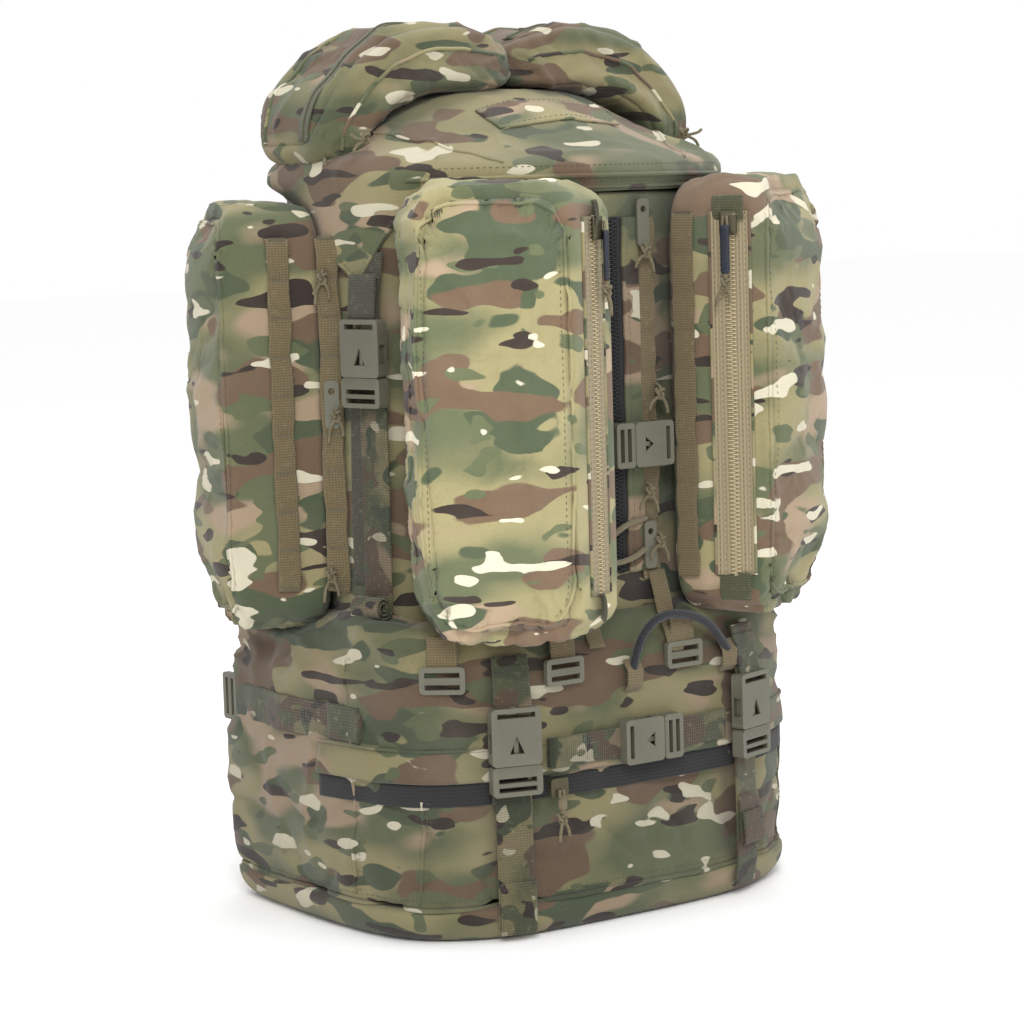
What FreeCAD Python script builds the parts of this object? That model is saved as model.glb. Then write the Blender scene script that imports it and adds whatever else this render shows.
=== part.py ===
# Hunting backpack, about 60 litres, in millimetres.
# The frame: +Z up, the pouch side faces -Y, the wearer's side faces +Y, and the origin is the
# centre of the base on the ground.
import FreeCAD, Part
import math
import os
from FreeCAD import Rotation, Vector

# ---- driving dimensions -------------------------------------------------------------------
BASE_TOP = 22.0            # seam between the base panel and the lower bag
BAG_TOP = 205.0            # top of the lower (sleeping bag) compartment
WALL_TOP = 487.0           # mouth of the main compartment
LID_BOTTOM = 489.5
CLEAR = 0.4                # running clearance between bodies
WALL = 5.0                 # padded wall thickness

# half plans, right side from front to back; the left side mirrors them
BAG_PLAN = [(80, -140), (126, -126), (158, -98), (170, -58), (170, 92), (152, 112)]
BODY_PLAN = [(42, -124), (140, -67.4), (151.2, -22.8), (154, -12), (118.5, 86), (104, 114)]
LID_PLAN = [(44, -127), (143, -70), (158, -24), (160, 10), (156, 84), (118, 116)]
PLAN_CENTRE_Y = -5.0

POUCH_W = 112.0
POUCH_D = 75.0
POUCH_BOTTOM = 209.0
POUCH_TOP = 487.0
SIDE_POUCH_TOP = 478.0
FRONT_POUCH_AT = (91.5, -98.8)     # middle of the back face
FRONT_POUCH_AZ = 30.0
LEFT_POUCH_IN = 14.0       # the left front pouch is laced on this much nearer the middle
SIDE_POUCH_AT = (138.0, 37.4)
SIDE_POUCH_AZ = 110.0

WEB = 25.0                 # main webbing width
WEB_T = 1.6
DAISY_W = 15.0
SR25 = dict(w=34.0, fl=38.0, fr=20.0, t=9.0, prong=25.0)
SR20 = dict(w=30.0, fl=32.0, fr=16.0, t=8.0, prong=19.0)
SHELL = 1.7                # wall of a buckle socket

LID_STRAP_AT = (143.9, -51.9)
LID_STRAP_AZ = 76.0
ID_SLOPE = 19.2            # the label flap lies on the lid's forward slope
LID_POUCH_Y = -22.0        # front of the two pouches on the lid
LID_SOCKET_Z = 371.0       # mouth of the lid buckle socket
LID_BUCKLE_OFF = 4.4
LOWER_STRAP_X = (-100.0, 92.0)
LOWER_SOCKET_Z = 119.0
LOWER_BUCKLE_OFF = 4.0
CENTRE_BUCKLE = (7.0, 319.0)       # mouth of the socket, X and Z
CENTRE_BUCKLE_OFF = 4.6
CROSS_BUCKLE = (13.0, 123.0)
CROSS_BUCKLE_OFF = 4.0

ZIP_OUT = 46.0             # pouch zip's line, measured out from the pouch's back edge
SLIDER_Z = 470.0
LOWER_ZIP_Z = 100.0
LOWER_SLIDER_X = -70.0

BACK_Y = 114.5             # outer face of the rear panel
PAD_Y = 120.0
STRAP_X = 75.0
STRAP_W = 60.0
WING_AXIS = (134.0, 151.0)
CORD_D = 6.0

PARTS = {}
STRAP_RUNS = []            # the long straps under the lid buckles and the lower buckles


# ---- helpers ------------------------------------------------------------------------------
def full_plan(half):
    """Closed plan, anticlockwise from the left of the front, from a right-hand half plan."""
    left = [(-x, y) for x, y in reversed(half)]
    return left + list(half)


def scaled(plan, k, dx=0.0):
    return [(x * k + dx, PLAN_CENTRE_Y + (y - PLAN_CENTRE_Y) * k) for x, y in plan]


def wire(points, z):
    pts = [Vector(x, y, z) for x, y in points]
    return Part.makePolygon(pts + [pts[0]])


def prism(points, z0, z1):
    return Part.Face(wire(points, z0)).extrude(Vector(0, 0, z1 - z0))


def loft(sections):
    """A closed solid through (plan, z) sections with equal corner counts."""
    return Part.makeLoft([wire(plan, z) for plan, z in sections], True, True)


def slab(x, n, z):
    """A box in a face frame: x to the right, n outwards (towards -Y), z up."""
    return Part.makeBox(x[1] - x[0], n[1] - n[0], z[1] - z[0], Vector(x[0], -n[1], z[0]))


def place(shape, at, az, z=0.0):
    """Turn a face-frame shape so that it faces azimuth az, and move it to its place."""
    s = shape.copy()
    s.rotate(Vector(0, 0, 0), Vector(0, 0, 1), az)
    s.translate(Vector(at[0], at[1], z))
    return s


def mirror(shape):
    return shape.mirror(Vector(0, 0, 0), Vector(1, 0, 0))


def group(shapes):
    return Part.makeCompound(list(shapes))


def rounded(shape, radius, keep=lambda e: True):
    edges = [e for e in shape.Edges if keep(e)]
    return shape.makeFillet(radius, edges)


def along(axis):
    """Picks the edges that run along one axis."""
    def test(edge):
        d = edge.Vertexes[-1].Point - edge.Vertexes[0].Point
        return d.Length > 0 and abs(d.normalize().dot(axis)) > 0.99
    return test


def ribbon(path, thick, x0, x1):
    """A flat band of even thickness: a path in the Y-Z plane, drawn out along X."""
    upper, lower = [], []
    for i, p in enumerate(path):
        a = path[max(i - 1, 0)]
        b = path[min(i + 1, len(path) - 1)]
        dy, dz = b[0] - a[0], b[1] - a[1]
        length = math.hypot(dy, dz)
        ny, nz = -dz / length * thick / 2, dy / length * thick / 2
        upper.append(Vector(x0, p[0] + ny, p[1] + nz))
        lower.append(Vector(x0, p[0] - ny, p[1] - nz))
    pts = upper + lower[::-1]
    face = Part.Face(Part.makePolygon(pts + [pts[0]]))
    return face.extrude(Vector(x1 - x0, 0, 0))


def add(name, shape):
    PARTS[name] = shape


def add_pair(name, shape):
    """Right-hand shape, and its mirror on the left, as two nodes."""
    add(name + "_right", shape)
    add(name + "_left", mirror(shape))


# ---- bag bodies ---------------------------------------------------------------------------
def bag_shell():
    plan = full_plan(BAG_PLAN)
    add("base_panel", loft([(scaled(plan, 0.95), 0.0), (plan, BASE_TOP)]))
    low = prism(plan, BASE_TOP, BAG_TOP - 18)
    top = loft([(plan, BAG_TOP - 18), (scaled(plan, 0.93), BAG_TOP)])
    add("lower_bag", low.fuse(top).removeSplitter())


def offset_plan(plan, inset):
    """Plan moved in by a wall thickness, keeping one corner per corner."""
    face = Part.Face(wire(plan, 0))
    inner = face.makeOffset2D(-inset, join=2)
    pts = [(v.X, v.Y) for v in inner.OuterWire.OrderedVertexes]
    return [min(pts, key=lambda q: math.hypot(q[0] - x, q[1] - y)) for x, y in plan]


def body_walls():
    plan = full_plan(BODY_PLAN)
    inner = offset_plan(plan, WALL)
    spans = {"left_panel": (1, 4), "front_panel": (4, 7), "right_panel": (7, 10)}
    for name, (i, j) in spans.items():
        outline = plan[i:j + 1] + inner[i:j + 1][::-1]
        add(name, prism(outline, BAG_TOP, WALL_TOP))
    rear = [plan[-2], plan[-1], plan[0], plan[1]]
    rear_in = [inner[-2], inner[-1], inner[0], inner[1]]
    add("rear_panel", prism(rear + rear_in[::-1], BAG_TOP, WALL_TOP))
    add("compartment_divider", prism(inner, BAG_TOP, BAG_TOP + 3))


def back_system():
    add("frame_sheet", slab((-92, 92), (0, 1.5), (32, 480)).translated(Vector(0, BACK_Y + 1.5, 0)))
    stay = Part.makeBox(25, 3, 430, Vector(-12.5, 0, 0))
    stay = rounded(stay, 5, along(Vector(0, 1, 0)))
    stays = [stay.translated(Vector(x, BACK_Y + 1.7, 42)) for x in (-57, 57)]
    add("frame_stays", group(stays))
    pad = Part.makeBox(70, 16, 225, Vector(22, PAD_Y, 212))
    pad = rounded(pad, 6)
    add("back_pads", group([pad, mirror(pad)]))
    lumbar = Part.makeBox(220, 20, 112, Vector(-110, PAD_Y, 86))
    add("lumbar_pad", rounded(lumbar, 8))
    path = [(126, 446), (150, 464), (180, 450), (190, 415), (190, 330), (176, 280), (155, 240)]
    strap = ribbon(path, 12, STRAP_X - STRAP_W / 2, STRAP_X + STRAP_W / 2)
    add_pair("shoulder_strap", strap)
    lower = ribbon([(157, 231), (140, 214), (125, 203)], 2, STRAP_X - 12.5, STRAP_X + 12.5)
    lifter = ribbon([(176, 461), (124, 482)], 2, STRAP_X - 10, STRAP_X + 10)
    webs = [lower, lifter]
    add("shoulder_webbing", group(webs + [mirror(w) for w in webs]))


def haul_loop():
    outer = Part.makeCylinder(28, 18, Vector(0, 121.5, 476), Vector(0, 1, 0))
    outer = outer.fuse(Part.makeBox(56, 18, 10, Vector(-28, 121.5, 466)))
    keep = Part.makeBox(60, 18, 50, Vector(-30, 121.5, 466))
    inner = Part.makeCylinder(25, 20, Vector(0, 120.5, 476), Vector(0, 1, 0))
    inner = inner.fuse(Part.makeBox(50, 20, 20, Vector(-25, 120.5, 456)))
    add("haul_loop", outer.common(keep).cut(inner))


# ---- pouches ------------------------------------------------------------------------------
def pouch_shape(top, taper):
    """A stuffed pouch in its face frame; its back face is in the plane n = 0."""
    def plan(k, shrink):
        hw = POUCH_W / 2 * k
        d = POUCH_D - shrink
        c = 12.0
        return [(-hw, 0), (hw, 0), (hw, -(d - c)), (hw - c, -d), (-(hw - c), -d), (-hw, -(d - c))]
    return loft([(plan(taper, 14), POUCH_BOTTOM), (plan(1, 0), POUCH_BOTTOM + 16),
                 (plan(1, 0), top - 14), (plan(0.9, 16), top)])


def left_front(shape):
    """The left front pouch's copy of a shape made for the right one."""
    az = math.radians(FRONT_POUCH_AZ)
    return mirror(shape).translated(Vector(LEFT_POUCH_IN * math.cos(az), -LEFT_POUCH_IN * math.sin(az), 0))


def add_front_pair(name, shape):
    add(name + "_right", shape)
    add(name + "_left", left_front(shape))


def pouches():
    front = pouch_shape(POUCH_TOP, 0.94)
    add_front_pair("pouch_front", place(front, FRONT_POUCH_AT, FRONT_POUCH_AZ))
    side = pouch_shape(SIDE_POUCH_TOP, 0.85)
    add_pair("pouch_side", place(side, SIDE_POUCH_AT, SIDE_POUCH_AZ))


def wall_frame():
    """Middle-facing wall of the right front pouch: origin at its back edge, and its azimuth."""
    az = math.radians(FRONT_POUCH_AZ)
    x = FRONT_POUCH_AT[0] - POUCH_W / 2 * math.cos(az)
    y = FRONT_POUCH_AT[1] - POUCH_W / 2 * math.sin(az)
    return (x, y), FRONT_POUCH_AZ - 90.0


def on_wall(shape):
    """Put a face-frame shape on the right pouch's inner wall; its x runs out to the front."""
    at, az = wall_frame()
    return place(shape, at, az)


def pouch_zips():
    # in the wall's face frame, x = 0 is the pouch's back edge and +x runs out to its front
    tape = slab((ZIP_OUT - 13, ZIP_OUT + 13), (0.2, 1.2), (POUCH_BOTTOM + 18, POUCH_TOP - 15))
    coil = slab((ZIP_OUT - 4, ZIP_OUT + 4), (1.2, 2.4), (POUCH_BOTTOM + 18, POUCH_TOP - 15))
    zip_right = on_wall(tape.fuse(coil))
    add("pouch_zips", group([zip_right, left_front(zip_right)]))
    foot = 2.4 + CLEAR
    body = slab((ZIP_OUT - 6, ZIP_OUT + 6), (foot, foot + 3.0), (SLIDER_Z - 8, SLIDER_Z + 8))
    body = rounded(body, 2.0, along(Vector(0, 1, 0)))
    bridge = slab((ZIP_OUT - 1.5, ZIP_OUT + 1.5), (foot + 3.0, foot + 4.4), (SLIDER_Z - 6, SLIDER_Z + 6))
    add_front_pair("pouch_slider", on_wall(body.fuse(bridge)))
    n0 = foot + 4.4 + CLEAR
    pull = slab((ZIP_OUT - 4, ZIP_OUT + 4), (n0, n0 + 3.6), (SLIDER_Z - 40, SLIDER_Z + 0.6))
    knot = Part.makeSphere(5, Vector(ZIP_OUT, -(n0 + 5.0), SLIDER_Z - 43))
    add_front_pair("pouch_pull", on_wall(pull.fuse(knot)))


# ---- zips and webbing on the body ----------------------------------------------------------
def lower_zip():
    plan = full_plan(BAG_PLAN)
    outer = [(x * 1.012, y * 1.012) for x, y in plan]
    ring = prism(outer, LOWER_ZIP_Z - 7, LOWER_ZIP_Z + 7).cut(prism(plan, 0, BAG_TOP))
    front = Part.makeBox(400, 110, 200, Vector(-200, -160, 20))
    add("lower_zip", ring.common(front))
    surface = 140 * 1.012
    n0 = surface + CLEAR
    at = LOWER_SLIDER_X
    body = slab((at - 7, at + 7), (n0, n0 + 3.4), (LOWER_ZIP_Z - 6, LOWER_ZIP_Z + 6))
    body = rounded(body, 2.0, along(Vector(0, 1, 0)))
    add("lower_slider", body)
    pull = slab((at - 3.5, at + 3.5), (n0 + 3.4 + CLEAR, n0 + 7.0), (LOWER_ZIP_Z - 32, LOWER_ZIP_Z + 0.6))
    add("lower_pull", pull)


def front_panel_zip():
    y = BODY_PLAN[0][1]
    tape = slab((-11, 11), (0, 1.0), (232, 470)).translated(Vector(0, y, 0))
    coil = slab((-3.5, 3.5), (1.0, 2.2), (232, 470)).translated(Vector(0, y, 0))
    add("front_panel_zip", tape.fuse(coil))


def daisy_chains():
    chains = []
    half = DAISY_W / 2
    inner = on_wall(slab((14 - half, 14 + half), (0.2, 1.8), (POUCH_BOTTOM + 18, POUCH_TOP - 16)))
    az = math.radians(SIDE_POUCH_AZ)
    at = (SIDE_POUCH_AT[0] - POUCH_W / 2 * math.cos(az), SIDE_POUCH_AT[1] - POUCH_W / 2 * math.sin(az))
    side = slab((31 - half, 31 + half), (0.2, 1.8), (POUCH_BOTTOM + 18, SIDE_POUCH_TOP - 16))
    chains.append(place(side, at, SIDE_POUCH_AZ - 90.0))
    front = slab((28 - half, 28 + half), (0.0, 1.6), (226, 470))
    chains.append(front.translated(Vector(0, BODY_PLAN[0][1], 0)))
    corner = slab((-half, half), (0.0, 1.6), (226, 462))
    chains.append(place(corner, (157.0, -20.2), 38.0))
    add("daisy_chains", group(chains + [mirror(c) for c in chains] + [inner, left_front(inner)]))


def attachment_strips():
    tab = slab((-5, 5), (2.0, 4.0), (-16, 16))
    hole = Part.makeCylinder(2.2, 10, Vector(0, 0, 9), Vector(0, -1, 0))
    tab = rounded(tab, 3, along(Vector(0, 1, 0))).cut(hole)
    y = BODY_PLAN[0][1]
    tabs = [tab.translated(Vector(24, y, z)) for z in (466, 250)]
    corner = place(tab, (157.0, -20.2), 38.0, 352)
    add("attachment_strips", group(tabs + [corner, mirror(corner)]))


# ---- side-release buckles -------------------------------------------------------------------
def socket(s):
    """Socket half: its mouth is at z = 0 and it runs up; n runs outwards from 0."""
    w, length, t = s["w"], s["fl"], s["t"]
    body = slab((-w / 2, w / 2), (0, t), (0, length))
    body = rounded(body, 3.0, along(Vector(0, 1, 0)))
    cavity = slab((-w / 2 + 2.4, w / 2 - 2.4), (SHELL, t - SHELL), (-1, s["prong"] + 1.5))
    slot = slab((-w / 2 + 4, w / 2 - 4), (-1, t + 1), (length - 6.5, length - 3.2))
    body = body.cut(cavity).cut(slot)
    top = s["prong"] * 0.78
    tri = [Vector(-5, 0, 8), Vector(5, 0, 8), Vector(0, 0, top)]
    window = Part.Face(Part.makePolygon(tri + [tri[0]])).extrude(Vector(0, -t - 1, 0))
    window.translate(Vector(0, -t / 2, 0))
    sides = slab((-w / 2 - 1, w / 2 + 1), (SHELL, t - SHELL), (9, 9 + s["prong"] * 0.5))
    return body.cut(window).cut(sides)


def prong_half(s):
    """Prong half: a webbing frame below z = 0 and three prongs that run up into the socket."""
    w, t, deep = s["w"], s["t"], s["prong"]
    half = w / 2 - 2.4 - CLEAR
    n = (SHELL + CLEAR, t - SHELL - CLEAR)
    frame = slab((-w / 2, w / 2), (0, t), (-s["fr"], -CLEAR))
    frame = rounded(frame, 3.0, along(Vector(0, 1, 0)))
    for z in (-s["fr"] + 3.0, -s["fr"] + 9.0):
        frame = frame.cut(slab((-w / 2 + 4, w / 2 - 4), (-1, t + 1), (z, z + 3.2)))
    guide = slab((-1.6, 1.6), n, (-1, deep * 0.7))
    left = slab((-half, -half + 4.0), n, (-1, deep))
    right = slab((half - 4.0, half), n, (-1, deep))
    return frame.fuse([guide, left, right])


def lie_along_x(shape, direction):
    """Turn a buckle so that its socket runs along +X (direction 1) or -X (-1)."""
    s = shape.copy()
    s.rotate(Vector(0, 0, 0), Vector(0, 1, 0), 90 * direction)
    return s


def out(shape, n):
    return shape.translated(Vector(0, -n, 0))


def lid_buckles():
    female = place(out(socket(SR25), LID_BUCKLE_OFF), LID_STRAP_AT, LID_STRAP_AZ, LID_SOCKET_Z)
    add("lid_buckle_sockets", group([female, mirror(female)]))
    male = place(out(prong_half(SR25), LID_BUCKLE_OFF), LID_STRAP_AT, LID_STRAP_AZ, LID_SOCKET_Z)
    add_pair("lid_buckle_prongs", male)
    strap = slab((-WEB / 2, WEB / 2), (0.6, 0.6 + WEB_T), (BAG_TOP + 5, 395))
    roll = Part.makeCylinder(8, WEB, Vector(-WEB / 2, -10.3, BAG_TOP + 14), Vector(1, 0, 0))
    strap = place(group([strap, roll]), LID_STRAP_AT, LID_STRAP_AZ)
    STRAP_RUNS.extend(list(strap.Solids) + list(mirror(strap).Solids))
    pile = slab((-WEB / 2, WEB / 2), (4.6, 7.4), (LID_SOCKET_Z + 38.6, 466))
    pile = place(pile, LID_STRAP_AT, LID_STRAP_AZ)
    add("lid_strap_tabs", group([pile, mirror(pile)]))


def lower_buckles():
    y = BAG_PLAN[0][1]
    run = BAG_PLAN[1][0] - BAG_PLAN[0][0]
    rise = BAG_PLAN[1][1] - BAG_PLAN[0][1]
    az = math.degrees(math.atan2(rise, run))
    sockets, straps = [], []
    for side, x in (("left", LOWER_STRAP_X[0]), ("right", LOWER_STRAP_X[1])):
        sign = 1 if x > 0 else -1
        at = (x, y + (abs(x) - BAG_PLAN[0][0]) * rise / run)
        turn = az * sign
        sockets.append(place(out(socket(SR25), LOWER_BUCKLE_OFF), at, turn, LOWER_SOCKET_Z))
        prongs = place(out(prong_half(SR25), LOWER_BUCKLE_OFF), at, turn, LOWER_SOCKET_Z)
        add("lower_buckle_prongs_" + side, prongs)
        strap = slab((-WEB / 2, WEB / 2), (2.1, 2.1 + WEB_T - 0.2), (BASE_TOP + 2, 184))
        straps.append(place(strap, at, turn))
    add("lower_buckle_sockets", group(sockets))
    add("strap_runs", group(STRAP_RUNS + straps))


def level_buckles():
    front = BODY_PLAN[0][1]
    at = (CENTRE_BUCKLE[0], front)
    female = place(out(lie_along_x(socket(SR20), 1), CENTRE_BUCKLE_OFF), at, 0, CENTRE_BUCKLE[1])
    male = place(out(lie_along_x(prong_half(SR20), 1), CENTRE_BUCKLE_OFF), at, 0, CENTRE_BUCKLE[1])
    add("centre_buckle_prongs", male)
    upper_socket = female
    z = (CENTRE_BUCKLE[1] - 10, CENTRE_BUCKLE[1] + 10)
    webs = [slab((-28, -5), (2.4, 4.0), z), slab((36, 41), (2.4, 4.0), z)]
    upper_webs = [w.translated(Vector(0, front, 0)) for w in webs]
    low = BAG_PLAN[0][1]
    at = (CROSS_BUCKLE[0], low)
    female = place(out(lie_along_x(socket(SR20), -1), CROSS_BUCKLE_OFF), at, 0, CROSS_BUCKLE[1])
    male = place(out(lie_along_x(prong_half(SR20), -1), CROSS_BUCKLE_OFF), at, 0, CROSS_BUCKLE[1])
    add("cross_buckle_sockets", group([upper_socket, female]))
    add("cross_buckle_prongs", male)
    z = (CROSS_BUCKLE[1] - 10, CROSS_BUCKLE[1] + 10)
    webs = [slab((-76, -12), (0.4, 2.0), z), slab((14, 72), (0.4, 2.0), z)]
    add("cross_straps", group(upper_webs + [w.translated(Vector(0, low, 0)) for w in webs]))


def side_straps():
    """Compression strap round each side of the lower bag, with its keeper and glide."""
    z = (130, 155)
    strap = Part.makeBox(1.6, 165, z[1] - z[0], Vector(170.4, -55, z[0]))
    add("side_straps", group([strap, mirror(strap)]))
    keeper = Part.makeBox(2.0, 20, 46, Vector(172.2, 58, 116))
    add("side_strap_keepers", group([keeper, mirror(keeper)]))
    glide = Part.makeBox(4.0, 18, 33, Vector(172.2, 92, 126))
    glide = rounded(glide, 2.5, along(Vector(1, 0, 0)))
    for y in (95.5, 103.0):
        glide = glide.cut(Part.makeBox(10, 3.4, 26, Vector(170, y, 129.5)))
    add("side_strap_glides", group([glide, mirror(glide)]))


def strap_adjusters():
    """Ladder locks that draw the pouch bottoms down on the lower bag."""
    lock = slab((-15, 15), (0.6, 4.6), (-9, 9))
    lock = rounded(lock, 3, along(Vector(0, 1, 0)))
    for z in (-6.0, 2.0):
        lock = lock.cut(slab((-11.5, 11.5), (0, 6), (z, z + 3.4)))
    y = BAG_PLAN[0][1]
    locks = [place(lock, (x, y), 0, 176) for x in (-62.0, 38.0)]
    locks.append(place(lock, (-139.0, -114.8), -41.0, 176))
    add("strap_adjusters", group(locks))


def bungee():
    """Shock cord looped between two eyelets on the lower bag's front."""
    route = [Vector(-6, -143.7, 170), Vector(-4, -147, 190), Vector(14, -148, 206),
             Vector(42, -148, 203), Vector(62, -147, 192), Vector(75, -143.7, 175)]
    edges, radii = [], []
    start = route[0]
    for i in range(1, len(route) - 1):
        a, p, b = route[i - 1], route[i], route[i + 1]
        back = (a - p).normalize()
        ahead = (b - p).normalize()
        turn = math.pi - back.getAngle(ahead)
        cut = 0.45 * min((a - p).Length, (b - p).Length)
        radius = cut / math.tan(turn / 2)
        radii.append(round(radius, 1))
        p0 = p + back * cut
        p1 = p + ahead * cut
        bisector = (back + ahead).normalize()
        centre = p + bisector * math.hypot(cut, radius)
        mid = centre - bisector * radius
        edges.append(Part.LineSegment(start, p0).toShape())
        edges.append(Part.Arc(p0, mid, p1).toShape())
        start = p1
    edges.append(Part.LineSegment(start, route[-1]).toShape())
    path = Part.Wire(edges)
    tangent = (route[1] - route[0]).normalize()
    section = Part.Wire([Part.Circle(route[0], tangent, CORD_D / 2).toShape()])
    tube = path.makePipeShell([section], True, False)
    ideal = math.pi * (CORD_D / 2) ** 2 * path.Length
    print("bungee radii", radii, "length", round(path.Length, 1), "volume ratio", round(tube.Volume / ideal, 4))
    add("bungee_cord", tube)


# ---- lid ----------------------------------------------------------------------------------
def lid():
    plan = full_plan(LID_PLAN)
    shoulder = [(x, y + 8) for x, y in scaled(plan, 0.84)]
    crown = [(x, y + 32) for x, y in scaled(plan, 0.52)]
    add("lid_top", loft([(plan, LID_BOTTOM), (scaled(plan, 0.995), 504.0), (shoulder, 527.0), (crown, 549.0)]))
    flap = [Vector(-20, 0, LID_BOTTOM), Vector(24, 0, LID_BOTTOM), Vector(14, 0, 440),
            Vector(0, 0, 428), Vector(-14, 0, 440)]
    flap = Part.Face(Part.makePolygon(flap + [flap[0]])).extrude(Vector(0, -2.4, 0))
    flap = place(out(flap, 1.6), LID_STRAP_AT, LID_STRAP_AZ)
    add("lid_flaps", group([flap, mirror(flap)]))
    outline = [(4, 551), (4, 598), (44, 605), (100, 600), (140, 576), (161, 538), (164, 509),
               (159, 509), (151, 521), (133, 534), (95, 550)]
    pts = [Vector(x, LID_POUCH_Y, z) for x, z in outline]
    banana = Part.Face(Part.makePolygon(pts + [pts[0]])).extrude(Vector(0, 94, 0))
    add_pair("lid_pouch", banana)
    flap = Part.makeBox(100, 30, 2, Vector(-50, 0, 0.6))
    flap.rotate(Vector(0, 0, 0), Vector(1, 0, 0), ID_SLOPE)
    add("id_flap", flap.translated(Vector(0, -72, 536.6)))
    strap = Part.makeBox(WEB, WEB_T, 165, Vector(-WEB / 2, 117.9, 336))
    add("lid_rear_strap", strap)


# ---- hip belt and sternum strap --------------------------------------------------------------
def hip_belt():
    """Wings folded in over the lumbar pad, each with its buckle half stowed on its outer face."""
    x0 = WING_AXIS[0] - 6
    wing = Part.makeBox(x0 - 6, 14, 92, Vector(6, WING_AXIS[1] - 7, 97))
    wing = rounded(wing, 5)
    add_pair("hip_wing", wing)
    y = WING_AXIS[1] + 7 + CLEAR
    female = place(lie_along_x(socket(SR25), 1), (-45, y), 180, 143)
    male = place(lie_along_x(prong_half(SR25), 1), (62, y), 180, 143)
    add("hip_buckle_socket", female)
    add("hip_buckle_prongs", male)


def sternum_strap():
    y = 184.0
    webs = [Part.makeBox(17, WEB_T, 20, Vector(27, y + 8.6, 360)),
            Part.makeBox(17, WEB_T, 20, Vector(-44, y + 8.6, 360))]
    add("sternum_strap", group(webs))
    at = (6.0, y)
    add("sternum_socket", place(lie_along_x(socket(SR20), 1), at, 180, 370))
    add("sternum_prongs", place(lie_along_x(prong_half(SR20), 1), at, 180, 370))


def build():
    bag_shell()
    body_walls()
    back_system()
    haul_loop()
    pouches()
    pouch_zips()
    lower_zip()
    front_panel_zip()
    daisy_chains()
    attachment_strips()
    lid_buckles()
    lower_buckles()
    level_buckles()
    side_straps()
    strap_adjusters()
    bungee()
    lid()
    hip_belt()
    sternum_strap()
    os.makedirs("parts", exist_ok=True)
    for name, shape in PARTS.items():
        if not shape.isValid():
            print("invalid", name)
        shape.exportStep("parts/" + name + ".step")
    print(len(PARTS), "parts")


build()
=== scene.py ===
"""Looks of a 60 litre hunting backpack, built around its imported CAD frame.

Builders work in millimetres in the row frame (+Z up, pouches towards -Y); make() turns them to metres.
"""

import math

import bpy
import numpy as np
from mathutils import Matrix, Vector, noise
from mathutils.bvhtree import BVHTree


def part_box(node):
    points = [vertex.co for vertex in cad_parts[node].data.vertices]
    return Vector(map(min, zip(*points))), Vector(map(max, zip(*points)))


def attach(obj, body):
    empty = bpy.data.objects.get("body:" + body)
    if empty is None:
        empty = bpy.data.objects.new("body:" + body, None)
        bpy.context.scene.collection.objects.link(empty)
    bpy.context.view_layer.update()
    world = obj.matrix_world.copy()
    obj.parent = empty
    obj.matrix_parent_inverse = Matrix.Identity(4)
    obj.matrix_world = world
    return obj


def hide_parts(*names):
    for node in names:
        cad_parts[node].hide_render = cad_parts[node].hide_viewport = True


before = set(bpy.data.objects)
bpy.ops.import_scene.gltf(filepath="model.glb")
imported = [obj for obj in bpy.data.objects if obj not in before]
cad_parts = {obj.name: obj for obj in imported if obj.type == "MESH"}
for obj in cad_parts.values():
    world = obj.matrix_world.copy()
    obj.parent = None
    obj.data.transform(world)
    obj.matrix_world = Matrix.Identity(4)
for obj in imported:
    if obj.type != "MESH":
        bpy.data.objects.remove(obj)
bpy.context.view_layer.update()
MM = 0.001

# ---- driving dimensions, in millimetres ----------------------------------------------------
BAG_PLAN = [(80, -140), (126, -126.5), (160, -100), (175, -56), (179, 20), (178, 84), (172, 106), (150, 114)]
BODY_PLAN = [(42, -124), (140, -67.4), (151.2, -22.8), (154, -12), (118.5, 86), (104, 114)]
LID_PLAN = [(44, -127), (143, -70), (157, -24), (158, 10), (150, 72), (116, 112)]
CENTRE_Y = -5.0
POUCH_HALF = 56.0
POUCH_DEPTH = 75.0
FRONT_POUCH = (91.5, -98.8, 30.0)
LEFT_POUCH_IN = 14.0
SIDE_POUCH = (138.0, 37.4, 110.0)
LID_STRAP = (143.9, -51.9, 76.0)
BODY_FRONT = -124.0
BAG_FRONT = -140.0
ZIP_OUT = 46.0
WEB = 25.0


def front_place(side):
    """Middle of a front pouch's back face; the left one is laced on nearer the middle."""
    x, y, az = FRONT_POUCH
    move = LEFT_POUCH_IN if side < 0 else 0.0
    return x - move * math.cos(math.radians(az)), y - move * math.sin(math.radians(az)), az


def node_top(name):
    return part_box(name)[1].z / MM


def node_low(name):
    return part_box(name)[0].z / MM


def box_mm(name):
    """A CAD node's lowest and highest corners."""
    return [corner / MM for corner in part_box(name)]


def hand(side):
    return "right" if side > 0 else "left"


BAG_LOW = node_low("lower_bag")
BAG_TOP = node_top("lower_bag")
WALL_TOP = node_top("front_panel")


# ---- mesh helpers --------------------------------------------------------------------------
class Face:
    """A vertical plane seen from outside: x to the right (times side), n outwards, z up."""

    def __init__(self, x, y, az, side=1):
        a = math.radians(az * side)
        self.at = np.array([x * side, y, 0.0])
        self.side = side
        self.right = np.array([math.cos(a), math.sin(a), 0.0]) * side
        self.out = np.array([math.sin(a), -math.cos(a), 0.0])
        self.up = np.array([0.0, 0.0, 1.0])

    def __call__(self, pts):
        p = np.asarray(pts, float).reshape(-1, 3)
        return self.at + p[:, :1] * self.right + p[:, 1:2] * self.out + p[:, 2:3] * self.up


def inner_wall(side):
    """The zipped wall of a front pouch, which faces the middle of the pack."""
    corner = Face(*front_place(side), side)([(-POUCH_HALF, 0, 0)])[0]
    return Face(corner[0] * side, corner[1], -60, side)


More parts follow.
